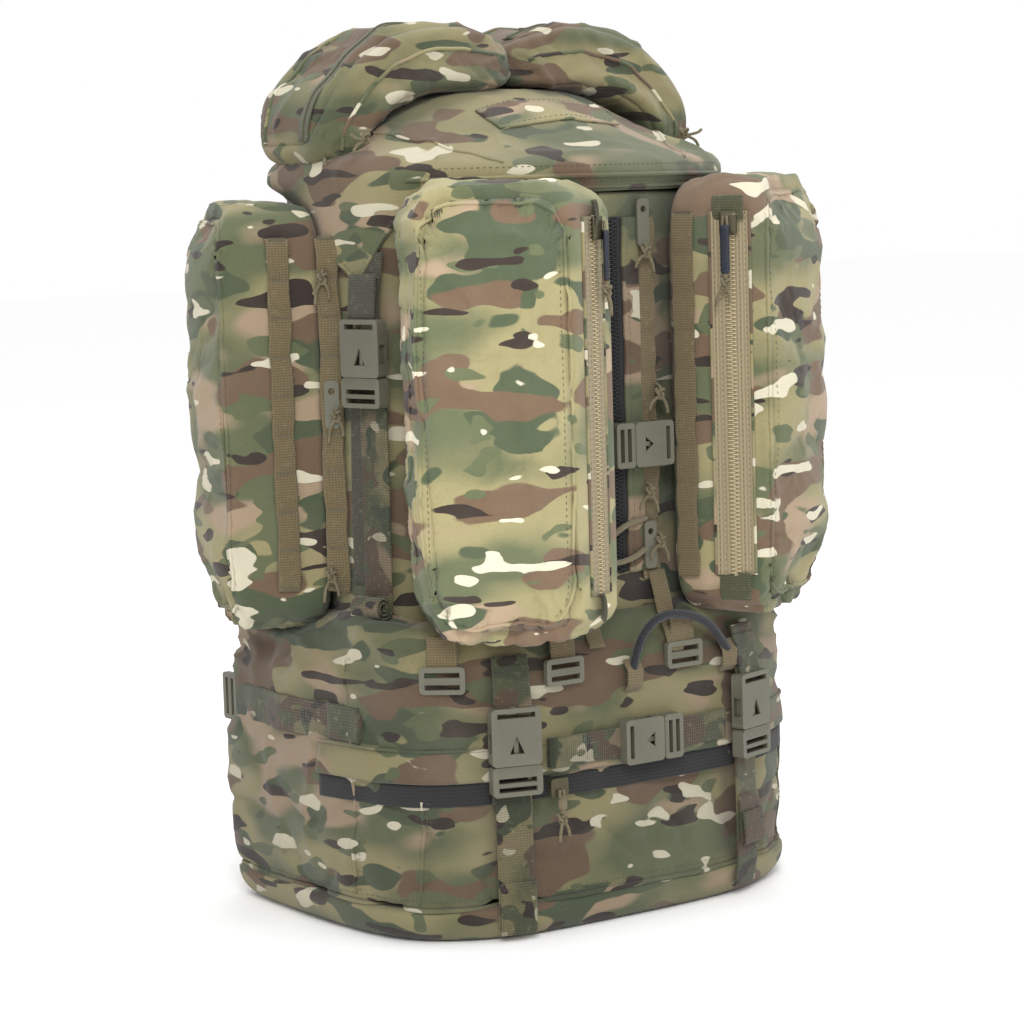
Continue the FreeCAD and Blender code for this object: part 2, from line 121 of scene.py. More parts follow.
def make(name, verts, faces, material, body, uv=None, smooth=True, flip=False):
    """A mesh piece from millimetre points, riding on a body."""
    mesh = bpy.data.meshes.new(name)
    if flip:
        faces = [tuple(f)[::-1] for f in faces]
    mesh.from_pydata((np.asarray(verts, float) * MM).tolist(), [], [tuple(map(int, f)) for f in faces])
    if uv is not None:
        layer = mesh.uv_layers.new(name="UVMap")
        loops = np.zeros(len(mesh.loops), np.int32)
        mesh.loops.foreach_get("vertex_index", loops)
        layer.data.foreach_set("uv", (np.asarray(uv, float)[loops] * MM).astype(np.float32).ravel())
    mesh.polygons.foreach_set("use_smooth", [smooth] * len(mesh.polygons))
    mesh.materials.append(material)
    mesh.update()
    obj = bpy.data.objects.new(name, mesh)
    bpy.context.scene.collection.objects.link(obj)
    if body is None:
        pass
    else:
        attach(obj, body)
    return obj


def joined(parts):
    """Several (verts, faces, uv) meshes as one."""
    verts, faces, uvs, base = [], [], [], 0
    for part in parts:
        v, f = part[0], part[1]
        uv = part[2] if len(part) > 2 else np.zeros((len(v), 2))
        verts.append(np.asarray(v, float))
        faces.extend([tuple(i + base for i in face) for face in f])
        uvs.append(uv)
        base += len(v)
    return np.concatenate(verts), faces, np.concatenate(uvs)


def box_grid(nx, ny, nz):
    """A closed cube surface from -1 to 1, gridded, as points and quads."""
    index, verts, faces = {}, [], []

    def vertex(i, j, k):
        key = (i, j, k)
        if key not in index:
            index[key] = len(verts)
            verts.append((2 * i / nx - 1, 2 * j / ny - 1, 2 * k / nz - 1))
        return index[key]

    def quad(*corners):
        faces.append([vertex(*q) for q in corners])

    for i in range(nx):
        for j in range(ny):
            quad((i, j, 0), (i, j + 1, 0), (i + 1, j + 1, 0), (i + 1, j, 0))
            quad((i, j, nz), (i + 1, j, nz), (i + 1, j + 1, nz), (i, j + 1, nz))
    for i in range(nx):
        for k in range(nz):
            quad((i, 0, k), (i + 1, 0, k), (i + 1, 0, k + 1), (i, 0, k + 1))
            quad((i, ny, k), (i, ny, k + 1), (i + 1, ny, k + 1), (i + 1, ny, k))
    for j in range(ny):
        for k in range(nz):
            quad((0, j, k), (0, j, k + 1), (0, j + 1, k + 1), (0, j + 1, k))
            quad((nx, j, k), (nx, j + 1, k), (nx, j + 1, k + 1), (nx, j, k + 1))
    return np.array(verts), faces


def vertex_normals(verts, faces):
    quads = np.array([f if len(f) == 4 else (*f, f[-1]) for f in faces])
    a = verts[quads[:, 2]] - verts[quads[:, 0]]
    b = verts[quads[:, 3]] - verts[quads[:, 1]]
    n = np.cross(a, b)
    out = np.zeros_like(verts)
    for c in range(4):
        np.add.at(out, quads[:, c], n)
    return out / np.maximum(np.linalg.norm(out, axis=1, keepdims=True), 1e-9)


def wave(pts, size, seed):
    """Smooth noise from -1 to 1 with features about size mm long, along x, y and z."""
    q = np.asarray(pts) / np.asarray(size, float) + seed * 7.31
    return np.array([noise.noise(Vector(p)) for p in q])


def fold(pts, size, seed, sharp=2.0):
    """Ridged noise, 0 to 1: 1 along the crease lines."""
    return (1 - np.minimum(np.abs(wave(pts, size, seed)) * 2.6, 1)) ** sharp


def crumple(verts, faces, layers):
    """Move points along their normals by the sum of layers, each an array of millimetres."""
    n = vertex_normals(verts, faces)
    total = sum(layers)
    return verts + n * np.asarray(total)[:, None]


def resample(points, step):
    """A polyline smoothed by corner cutting and spaced evenly."""
    p = np.array(points, float)
    for _ in range(3):
        a, b = p[:-1], p[1:]
        mid = np.stack([a * 0.75 + b * 0.25, a * 0.25 + b * 0.75], 1).reshape(-1, p.shape[1])
        p = np.concatenate([p[:1], mid, p[-1:]])
    return spaced(p, step)


def spaced(p, step):
    p = np.asarray(p, float)
    seg = np.linalg.norm(np.diff(p, axis=0), axis=1)
    s = np.concatenate([[0], np.cumsum(seg)])
    n = max(2, int(round(s[-1] / step)) + 1)
    t = np.linspace(0, s[-1], n)
    return np.stack([np.interp(t, s, p[:, c]) for c in range(p.shape[1])], 1)


def smooth_plan(half, rounds=3):
    """Closed outline with its corners cut, from a right-hand half plan."""
    pts = [(-x, y) for x, y in reversed(half)] + list(half)
    p = np.array(pts, float)
    for _ in range(rounds):
        q = np.roll(p, -1, axis=0)
        p = np.stack([p * 0.75 + q * 0.25, p * 0.25 + q * 0.75], 1).reshape(-1, 2)
    return p


class Plan:
    """Star-shaped outline as a radius over the angle from the front, in degrees, + to the right."""

    def __init__(self, half, rounds=3):
        p = smooth_plan(half, rounds)
        p = spaced(np.concatenate([p, p[:1]]), 1.5)[:-1]
        ang = np.degrees(np.arctan2(p[:, 0], -(p[:, 1] - CENTRE_Y)))
        rad = np.hypot(p[:, 0], p[:, 1] - CENTRE_Y)
        order = np.argsort(ang)
        self.ang = np.concatenate([ang[order] - 360, ang[order], ang[order] + 360])
        self.rad = np.tile(rad[order], 3)

    def __call__(self, angle):
        return np.interp(angle, self.ang, self.rad)


def polar(angle, radius, z):
    a = np.radians(angle)
    return np.stack([radius * np.sin(a), CENTRE_Y - radius * np.cos(a), z + 0 * angle], -1)


bag_plan = Plan(BAG_PLAN, 2)
body_plan = Plan(BODY_PLAN, 2)
lid_plan = Plan(LID_PLAN)


def grid_faces(rows, cols, wrap=True):
    faces = []
    last = cols if wrap else cols - 1
    for i in range(rows - 1):
        for j in range(last):
            k = (j + 1) % cols
            faces.append((i * cols + j, i * cols + k, (i + 1) * cols + k, (i + 1) * cols + j))
    return faces


def polar_skin(rows, cols):
    """Rows of equal rings, closed at both ends with a fan, as one closed mesh."""
    verts = np.concatenate(rows)
    faces = grid_faces(len(rows), cols)
    low, high = len(verts), len(verts) + 1
    verts = np.concatenate([verts, [rows[0].mean(0)], [rows[-1].mean(0)]])
    top = (len(rows) - 1) * cols
    faces += [((j + 1) % cols, j, low) for j in range(cols)]
    faces += [(top + j, top + (j + 1) % cols, high) for j in range(cols)]
    return verts, faces


def skin(name, verts, faces, material, body, nodes, flip=False):
    """A soft body's outer cloth, which stands for its CAD nodes."""
    obj = make(name, verts, faces, material, body, flip=flip)
    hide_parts(*nodes)
    return obj


def tree(obj):
    """Ray tree of a piece, in millimetres."""
    verts = [v.co / MM for v in obj.data.vertices]
    return BVHTree.FromPolygons(verts, [p.vertices[:] for p in obj.data.polygons])


# ---- materials -----------------------------------------------------------------------------
class Nodes:
    """A material's node tree, with short calls to add to it."""

    def __init__(self, name):
        self.mat = bpy.data.materials.new(name)
        self.mat.use_nodes = True
        self.tree = self.mat.node_tree
        self.shader = self.tree.nodes["Principled BSDF"]

    def add(self, kind, inputs=None, **settings):
        node = self.tree.nodes.new(kind)
        for key, value in settings.items():
            setattr(node, key, value)
        for key, value in (inputs or {}).items():
            if isinstance(value, bpy.types.NodeSocket):
                self.tree.links.new(value, node.inputs[key])
            else:
                node.inputs[key].default_value = value
        return node

    def coords(self, kind="Object", scale=(1, 1, 1), shift=(0, 0, 0)):
        tc = self.add("ShaderNodeTexCoord")
        m = self.add("ShaderNodeMapping", {"Vector": tc.outputs[kind], "Location": shift, "Scale": scale})
        return m.outputs[0]

    def noise(self, vector, scale, detail=2.0, rough=0.5, distortion=0.0):
        inputs = {"Vector": vector, "Scale": scale, "Detail": detail, "Roughness": rough}
        return self.add("ShaderNodeTexNoise", {**inputs, "Distortion": distortion}).outputs[0]

    def math(self, op, a, b=0.0, c=None):
        inputs = {0: a, 1: b}
        if c is not None:
            inputs[2] = c
        return self.add("ShaderNodeMath", inputs, operation=op).outputs[0]

    def step(self, value, low, high):
        inputs = {"Value": value, "From Min": low, "From Max": high}
        return self.add("ShaderNodeMapRange", inputs, interpolation_type="SMOOTHSTEP").outputs[0]

    def mix(self, fac, a, b, blend="MIX"):
        node = self.add("ShaderNodeMix", data_type="RGBA", blend_type=blend)
        for key, value in ((0, fac), (6, a), (7, b)):
            if isinstance(value, bpy.types.NodeSocket):
                self.tree.links.new(value, node.inputs[key])
            else:
                node.inputs[key].default_value = value if key == 0 else (*value, 1)
        return node.outputs[2]

    def finish(self, colour, rough, height=None, bump=0.3, distance=0.0004, sheen=0.0, metallic=0.0):
        s = self.shader
        if isinstance(colour, bpy.types.NodeSocket):
            self.tree.links.new(colour, s.inputs["Base Color"])
        else:
            s.inputs["Base Color"].default_value = (*colour, 1)
        if isinstance(rough, bpy.types.NodeSocket):
            self.tree.links.new(rough, s.inputs["Roughness"])
        else:
            s.inputs["Roughness"].default_value = rough
        s.inputs["Sheen Weight"].default_value = sheen
        s.inputs["Metallic"].default_value = metallic
        s.inputs["Specular IOR Level"].default_value = 0.3
        if height is not None:
            inputs = {"Height": height, "Strength": bump, "Distance": distance}
            node = self.add("ShaderNodeBump", inputs)
            self.tree.links.new(node.outputs[0], s.inputs["Normal"])
        return self.mat


TAN = (0.275, 0.245, 0.125)
SAGE = (0.100, 0.118, 0.060)
GREEN = (0.062, 0.082, 0.045)
BROWN = (0.135, 0.088, 0.055)
PINK = (0.330, 0.245, 0.165)
DARK = (0.032, 0.022, 0.018)
CREAM = (0.600, 0.560, 0.430)
COYOTE = (0.150, 0.112, 0.056)


def camo_layers(n, vector, k=1.0, tint=(1, 1, 1)):
    """Printed blotches: soft greens and tans below, hard-edged brown, dark and cream shapes above."""
    warp = n.add("ShaderNodeTexNoise", {"Vector": vector, "Scale": 26 * k, "Detail": 1.0}).outputs[1]
    shift = n.add("ShaderNodeVectorMath", {0: warp, 1: (-0.5, -0.5, -0.5)}, operation="ADD").outputs[0]
    scaled = n.add("ShaderNodeVectorMath", {0: shift, 3: 0.022 / k}, operation="SCALE").outputs[0]
    v = n.add("ShaderNodeVectorMath", {0: vector, 1: scaled}, operation="ADD").outputs[0]

    def layer(under, colour, scale, low, high, offset, stretch=(1, 1, 1)):
        m = n.add("ShaderNodeMapping", {"Vector": v, "Location": offset, "Scale": stretch}).outputs[0]
        return n.mix(n.step(n.noise(m, scale * k, 1.2, 0.45), low, high), under, colour)

    c = n.mix(n.step(n.noise(v, 9 * k, 1.0), 0.40, 0.60), TAN, SAGE)
    c = layer(c, PINK, 12, 0.56, 0.66, (3.1, 0.4, 1.7))
    c = layer(c, GREEN, 17, 0.585, 0.60, (0.7, 5.2, 2.9))
    c = layer(c, BROWN, 13, 0.575, 0.588, (9.3, 2.2, 4.6))
    c = layer(c, SAGE, 24, 0.63, 0.645, (4.4, 7.7, 0.3))
    c = layer(c, DARK, 21, 0.648, 0.656, (6.6, 1.1, 8.8), (1, 1, 1.5))
    c = layer(c, CREAM, 25, 0.665, 0.675, (2.5, 8.4, 5.5), (1, 1, 1.2))
    return n.mix(1.0, c, tint, "MULTIPLY")


def weave_height(n, k=1.0):
    """Plain weave of heavy yarn, about half a millimetre a thread."""
    v = n.coords()
    x, y, z = n.add("ShaderNodeSeparateXYZ", {0: v}).outputs
    pitch = 2 * math.pi / (0.0011 / k)
    across = n.math("SINE", n.math("MULTIPLY", n.math("ADD", x, y), pitch))
    up = n.math("SINE", n.math("MULTIPLY", z, pitch))
    grain = n.noise(v, 1500 * k, 1.0)
    return n.math("ADD", n.math("MULTIPLY", across, up), n.math("MULTIPLY", grain, 2.0))


def camo(name, seed, tint=(1, 1, 1), k=1.0):
    n = Nodes(name)
    v = n.coords(scale=(1, 1, 2.2), shift=(seed * 0.37, seed * 0.91, seed * 0.53))
    # tint carries the piece's painted light and shade level.
    colour = camo_layers(n, v, k, tint)
    heather = n.step(n.noise(n.coords(), 700, 2.0, 0.7), 0.2, 0.8)
    colour = n.mix(n.math("MULTIPLY", heather, 0.22), colour, (0.9, 0.86, 0.7), "SOFT_LIGHT")
    dust = n.step(n.noise(n.coords(), 14, 4.0, 0.6), 0.35, 0.8)
    colour = n.mix(n.math("MULTIPLY", dust, 0.10), colour, (0.38, 0.34, 0.26))
    rough = n.math("MULTIPLY_ADD", heather, 0.15, 0.78)
    return n.finish(colour, rough, weave_height(n), 0.35, 0.00025, sheen=0.15)


# Each piece's tone multiplies its camo: painted light and shade, brightest on the front left pouch and darkest on
# the lower bag and body.
CAMO = {key: camo("camo_" + key, seed, (tone, tone * 0.99, tone * 0.98)) for key, seed, tone in
        (("bag", 1.0, 0.60), ("body", 2.3, 0.66), ("front_left", 3.1, 1.18), ("front_right", 4.7, 0.95),
         ("side_left", 5.9, 0.84), ("side_right", 7.2, 0.84), ("lid", 8.3, 0.72), ("lid_left", 9.6, 0.70),
         ("lid_right", 11.1, 0.72), ("trim", 12.4, 0.85))}


def webbing(name, base, printed=None, height=0.35):
    """Woven strap: crosswise ribs with warp threads between, painted darker in the grooves as shade, so paler on
    top.
    """
    n = Nodes(name)
    u, v, _ = n.add("ShaderNodeSeparateXYZ", {0: n.coords("UV")}).outputs
    rib = n.math("SINE", n.math("MULTIPLY", v, 2 * math.pi / 0.0017))
    warp = n.math("SINE", n.math("MULTIPLY", u, 2 * math.pi / 0.0021))
    cross = n.math("MULTIPLY", rib, warp)
    grain = n.noise(n.coords(), 900, 2.0, 0.7)
    bumps = n.math("ADD", n.math("MULTIPLY_ADD", rib, 0.7, cross), n.math("MULTIPLY", grain, 0.8))
    if printed is not None:
        v3 = n.coords(scale=(1, 1, 1.1), shift=(printed, 2 * printed, 0.3))
        base = camo_layers(n, v3, 1.9, (0.50, 0.49, 0.44))
    # Painted shade: the low parts of the weave darkened towards near black.
    shade = n.step(bumps, -1.6, 1.6)
    dark = n.mix(0.72, base, (0.02, 0.018, 0.012))
    colour = n.mix(shade, dark, base)
    fleck = n.step(n.noise(n.coords(), 260, 3.0, 0.7), 0.55, 0.75)
    colour = n.mix(n.math("MULTIPLY", fleck, 0.25), colour, (0.32, 0.27, 0.17))
    return n.finish(colour, 0.85, bumps, 0.6, 0.0004, sheen=0.2)


def plastic(name, base, rough=0.42, speckle=0.0):
    n = Nodes(name)
    fine = n.noise(n.coords(), 1800, 2.0, 0.6)
    broad = n.noise(n.coords(), 45, 3.0, 0.6)
    pale = tuple(min(1, c * 1.45 + 0.01) for c in base)
    colour = n.mix(n.math("MULTIPLY", n.step(broad, 0.3, 0.8), 0.35 + speckle), base, pale)
    edge = n.add("ShaderNodeNewGeometry").outputs["Pointiness"]
    colour = n.mix(n.math("MULTIPLY", n.step(edge, 0.52, 0.60), 0.5), colour, pale)
    return n.finish(colour, n.math("MULTIPLY_ADD", broad, 0.25, rough - 0.1), fine, 0.18, 0.0002)


def tape(name, base):
    n = Nodes(name)
    u, v, _ = n.add("ShaderNodeSeparateXYZ", {0: n.coords("UV")}).outputs
    a = n.math("SINE", n.math("MULTIPLY", n.math("ADD", u, v), 2 * math.pi / 0.0011))
    b = n.math("SINE", n.math("MULTIPLY", u, 2 * math.pi / 0.0024))
    bumps = n.math("ADD", a, b)
    # Painted shade: the weave's low spots darkened to 0.62 of the tape colour.
    colour = n.mix(n.step(bumps, -1.5, 1.5), tuple(c * 0.62 for c in base), base)
    return n.finish(colour, 0.86, bumps, 0.4, 0.0002, sheen=0.1)


def spacer_mesh(name, base):
    """Open air mesh over foam: a net of small holes, painted dark as the shade inside them."""
    n = Nodes(name)
    cells = n.add("ShaderNodeTexVoronoi", {"Vector": n.coords(scale=(1, 1, 0.8)), "Scale": 620.0})
    hole = n.step(cells.outputs[0], 0.25, 0.55)
    # Painted shade: the holes darkened to a quarter of the mesh colour.
    colour = n.mix(hole, tuple(c * 0.25 for c in base), base)
    tone = n.step(n.noise(n.coords(), 18, 3.0), 0.3, 0.75)
    colour = n.mix(n.math("MULTIPLY", tone, 0.2), colour, (0.24, 0.20, 0.13))
    return n.finish(colour, 0.9, hole, 0.7, 0.0008, sheen=0.15)


def thread(name, base, pitch=0.0016):
    """Braided or twisted cord: slanting strands."""
    n = Nodes(name)
    x, y, z = n.add("ShaderNodeSeparateXYZ", {0: n.coords()}).outputs
    a = n.math("SINE", n.math("MULTIPLY", n.math("ADD", n.math("ADD", x, y), z), 2 * math.pi / pitch))
    b = n.math("SINE", n.math("MULTIPLY", n.math("SUBTRACT", n.math("ADD", x, y), z), 2 * math.pi / pitch))
    bumps = n.math("MULTIPLY", a, b)
    # Painted shade: the grooves between strands darkened to half the cord colour.
    colour = n.mix(n.step(bumps, -0.9, 0.9), tuple(c * 0.5 for c in base), base)
    return n.finish(colour, 0.8, bumps, 0.6, 0.0004, sheen=0.2)


def metal(name, base, rough):
    n = Nodes(name)
    wear = n.step(n.noise(n.coords(), 400, 4.0, 0.7), 0.5, 0.7)
    colour = n.mix(n.math("MULTIPLY", wear, 0.4), base, tuple(min(1, c * 2.2) for c in base))
    return n.finish(colour, n.math("MULTIPLY_ADD", wear, 0.2, rough), wear, 0.1, 0.0001, metallic=0.7)


WEBBING = webbing("webbing_coyote", (0.165, 0.126, 0.062))
JACQUARD = webbing("webbing_camo", None, 3.3)
DARK_WEB = webbing("webbing_dark", (0.052, 0.050, 0.032))
GREEN_WEB = webbing("webbing_green", (0.078, 0.082, 0.040))
PLASTIC = plastic("buckle_acetal", (0.088, 0.086, 0.062))
SHEET = plastic("frame_hdpe", (0.022, 0.022, 0.022), 0.5)
SLEEVE = plastic("pull_rubber", (0.014, 0.017, 0.026), 0.5)
BEIGE = tape("zip_tape_beige", (0.330, 0.272, 0.165))
COIL = plastic("zip_coil_beige", (0.345, 0.285, 0.175), 0.45)
BLACK_TAPE = tape("zip_tape_black", (0.024, 0.024, 0.024))
BLACK_COIL = plastic("zip_coil_black", (0.016, 0.016, 0.018), 0.4)
MESH = spacer_mesh("padding_mesh", (0.105, 0.084, 0.048))
CORD = thread("paracord_tan", (0.205, 0.165, 0.088))
BUNGEE = thread("bungee_black", (0.020, 0.021, 0.026), 0.0024)
STITCH = thread("stitch_thread", (0.165, 0.145, 0.088), 0.0008)
ENAMEL = metal("slider_enamel", (0.075, 0.066, 0.040), 0.4)
ALUMINIUM = metal("stay_aluminium", (0.46, 0.47, 0.48), 0.32)


# ---- strips, tubes, stitches ---------------------------------------------------------------------
SECTION = [(-0.5, 0), (-0.475, 0.4), (-0.42, 0.5), (-0.2, 0.5), (0, 0.5), (0.2, 0.5), (0.42, 0.5),
           (0.475, 0.4), (0.5, 0), (0.475, -0.4), (0.42, -0.5), (0, -0.5), (-0.42, -0.5), (-0.475, -0.4)]


def unit(v):
    return v / np.maximum(np.linalg.norm(v, axis=-1, keepdims=True), 1e-9)


def frames_along(p, side):
    t = unit(np.gradient(p, axis=0))
    side = np.broadcast_to(np.asarray(side, float), p.shape)
    side = unit(side - (side * t).sum(1, keepdims=True) * t)
    return t, side, np.cross(side, t)


def strip(path, side, width, thick):
    """Webbing with rounded edges; side points across it and side x run is its face."""
    p = np.asarray(path, float)
    t, s, n = frames_along(p, side)
    run = np.concatenate([[0], np.cumsum(np.linalg.norm(np.diff(p, axis=0), axis=1))])
    w = np.broadcast_to(np.asarray(width, float), (len(p),))
    sec = np.array(SECTION)
    across = w[:, None] * sec[None, :, 0]
    verts = p[:, None] + s[:, None] * across[..., None] + n[:, None] * (sec[:, 1] * thick)[None, :, None]
    uv = np.stack([across + w[:, None] / 2, np.broadcast_to(run[:, None], across.shape)], -1)
    cols = len(sec)
    faces = grid_faces(len(p), cols)
    last = (len(p) - 1) * cols
    faces += [tuple(range(cols))[::-1], tuple(range(last, last + cols))]
    return verts.reshape(-1, 3), faces, uv.reshape(-1, 2)


def tube(path, radius, sides=8):
    p = np.asarray(path, float)
    t = unit(np.gradient(p, axis=0))
    ref = np.array([0.0, 0.0, 1.0]) if abs(t[0][2]) < 0.9 else np.array([1.0, 0.0, 0.0])
    a = unit(np.cross(t[0], ref))
    ring = []
    r = np.broadcast_to(np.asarray(radius, float), (len(p),))
    for i in range(len(p)):
        a = unit(a - np.dot(a, t[i]) * t[i])
        b = np.cross(t[i], a)
        ang = np.linspace(0, 2 * math.pi, sides, endpoint=False)
        ring.append(p[i] + r[i] * (np.cos(ang)[:, None] * a + np.sin(ang)[:, None] * b))
    verts = np.concatenate(ring)
    faces = grid_faces(len(p), sides)
    last = (len(p) - 1) * sides
    faces += [tuple(range(sides))[::-1], tuple(range(last, last + sides))]
    return verts, faces, np.zeros((len(verts), 2))


def stitches(path, lift, length=2.7, gap=1.5, thick=0.32):
    """A row of thread dashes along a path; lift is the way out of the cloth."""
    p = spaced(path, length + gap)
    lift = np.asarray(lift, float)
    parts = []
    for i in range(len(p) - 1):
        t = unit(p[i + 1] - p[i])
        up = unit(lift[min(i * len(lift) // max(len(p) - 1, 1), len(lift) - 1)] if lift.ndim == 2 else lift)
        s = np.cross(t, up)
        mid = p[i] + t * length / 2 + up * 0.1
        v = [p[i], mid + s * thick, mid + up * thick, mid - s * thick, mid - up * thick, p[i] + t * length]
        f = [(0, 2, 1), (0, 3, 2), (0, 4, 3), (0, 1, 4), (5, 1, 2), (5, 2, 3), (5, 3, 4), (5, 4, 1)]
        parts.append((np.array(v), f))
    return joined(parts)


def bars(path, side, width, pitch, long, high, offset=0.0):
    """Small bevelled bars across a path, such as zip teeth or bar tacks."""
    p = spaced(path, pitch)
    t, s, n = frames_along(p, side)
    parts = []
    for i in range(len(p)):
        c = p[i] + s[i] * (offset if i % 2 else -offset)
        v = []
        for h, k in ((-0.2, 1.0), (0.6, 1.0), (1.0, 0.62)):
            for a, b in ((-1, -1), (1, -1), (1, 1), (-1, 1)):
                wide = s[i] * a * width / 2 * (0.5 + 0.5 * k)
                v.append(c + wide + t[i] * b * long / 2 * k + n[i] * high * h)
        f = [(8, 9, 10, 11)]
        for r in (0, 4):
            f += [(r + j, r + (j + 1) % 4, r + 4 + (j + 1) % 4, r + 4 + j) for j in range(4)]
        parts.append((np.array(v), f))
    return joined(parts)


def drape(points, outwards, bvh, lift=0.0, reach=26.0, smooth=2):
    """Points laid on a surface along the given way out, and lifted off it."""
    p = np.asarray(points, float)
    out = np.broadcast_to(unit(np.asarray(outwards, float)), p.shape)
    move = np.zeros(len(p))
    hits = np.zeros(len(p), bool)
    for i in range(len(p)):
        start = p[i] + out[i] * reach
        hit = bvh.ray_cast(Vector(start), Vector(-out[i]), reach * 2)
        if hit[0] is not None:
            move[i] = reach - hit[3]
            hits[i] = True
    if not hits.any():
        return p
    index = np.arange(len(p))
    move = np.interp(index, index[hits], move[hits])
    for _ in range(smooth):
        padded = np.pad(move, 1, mode="edge")
        move = np.maximum(padded[:-2] * 0.25 + padded[1:-1] * 0.5 + padded[2:] * 0.25, move - 0.6)
    return p + out * (move + lift)[:, None]


def line(*points, step=3.0):
    return spaced(np.array(points, float), step)


def piece(name, parts, material, body, replaces=(), flip=False, smooth=True):
    verts, faces, uv = joined(parts)
    obj = make(name, verts, faces, material, body, uv, smooth, flip)
    if replaces:
        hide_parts(*replaces)
    return obj


def outward_xy(p):
    q = np.asarray(p, float) - [0, CENTRE_Y, 0]
    q[:, 2] = 0
    return unit(q)


def daisy_run(face, x, z0, z1, bvh=None, rise=2.1, width=15.0):
    """A daisy chain: webbing tacked down every 25.7 mm, standing off in a loop between tacks."""
    pitch = 25.7
    z = np.arange(z1, z0, -1.6)
    phase = ((z1 - z) % pitch) / pitch
    flat = face(np.stack([np.full_like(z, x), np.zeros_like(z), z], 1))
    if bvh is not None:
        flat = drape(flat, face.out, bvh, 0.0, smooth=6)
    loop = rise * np.sin(np.pi * phase) ** 0.7
    sway = 1.1 * np.array([noise.noise(Vector((x, zz / 21.0, 3.3))) for zz in z])
    path = flat + face.out * (0.9 + loop)[:, None] + face.right * sway[:, None]
    web = strip(path, -face.right * face.side, width * (1 + 0.05 * np.sin(z / 9.0)), 1.5)
    parts_tack = []
    for zt in np.arange(z1 - 0.8, z0, -pitch):
        i = int(np.argmin(np.abs(z - zt)))
        c = flat[i] + face.out * 1.9 + face.right * sway[i]
        bar = np.array([c - face.right * width * 0.36, c + face.right * width * 0.36])
        parts_tack.append(bars(bar, np.array([0, 0, 1.0]), 2.6, 0.9, 0.55, 0.5))
    return web, parts_tack


def knotted_cord(at, tails, seed, size=3.2, r=1.05):
    """An overhand knot with two short tails, hanging at a point."""
    a = np.linspace(0, 2 * math.pi, 60)
    knot = np.stack([np.sin(a) + 2 * np.sin(2 * a), 1.2 * np.sin(3 * a), np.cos(a) - 2 * np.cos(2 * a)], 1)
    knot = np.asarray(at) + knot * size / 2.6
    parts = [tube(knot, r, 7)]
    for k, (dx, dy, dz) in enumerate(tails):
        start = np.asarray(at, float) + [dx * 0.1, dy * 0.1, -size * 0.6]
        bend = start + np.array([dx * 0.75, dy * 0.9, dz * 0.4])
        end = start + np.array([dx, dy, dz])
        parts.append(tube(resample([start, bend, end], 1.2), r, 7))
    return parts


# ---- camera, light and floor ------------------------------------------------------------------
def camera():
    """Eye 2 m away and 0.49 m up, to the pack's front left, with a long lens."""
    azimuth, distance, eye = math.radians(-35), 2.0, 0.49
    pitch, roll = math.radians(-6.43), math.radians(1.7)
    cam = bpy.data.cameras.new("camera")
    cam.sensor_width = 36
    cam.lens = 100.4
    obj = bpy.data.objects.new("camera", cam)
    bpy.context.scene.collection.objects.link(obj)
    obj.location = (distance * math.sin(azimuth), -distance * math.cos(azimuth), eye)
    look = Matrix.Rotation(azimuth, 4, "Z") @ Matrix.Rotation(math.pi / 2 + pitch, 4, "X")
    obj.rotation_euler = (look @ Matrix.Rotation(-roll, 4, "Z")).to_euler()
    bpy.context.scene.camera = obj


def light(name, size, power, at, target=(0, 0, 0.25)):
    lamp = bpy.data.lights.new(name, "AREA")
    lamp.shape = "DISK"
    lamp.size = size
    lamp.energy = power
    obj = bpy.data.objects.new(name, lamp)
    bpy.context.scene.collection.objects.link(obj)
    obj.location = at
    obj.rotation_euler = (Vector(target) - Vector(at)).to_track_quat("-Z", "Y").to_euler()


def studio():
    world = bpy.data.worlds.new("studio")
    world.use_nodes = True
    world.node_tree.nodes["Background"].inputs[0].default_value = (1, 1, 1, 1)
    world.node_tree.nodes["Background"].inputs[1].default_value = 1.0
    bpy.context.scene.world = world
    bpy.context.scene.view_settings.view_transform = "Standard"
    light("key", 0.9, 34, (-1.25, -1.9, 1.7), (0, 0, 0.38))
    light("fill", 1.2, 7, (1.9, -1.2, 1.2))
    light("top", 1.0, 14, (0.2, 0.1, 2.1))
    n = Nodes("floor_paper")
    grain = n.noise(n.coords(), 60, 3.0)
    material = n.finish((0.98, 0.98, 0.98), 0.9, grain, 0.05)
    s = 12000.0
    corners = [(-s, -s, -0.2), (s, -s, -0.2), (s, s, -0.2), (-s, s, -0.2)]
    make("floor", corners, [(0, 1, 2, 3)], material, None)


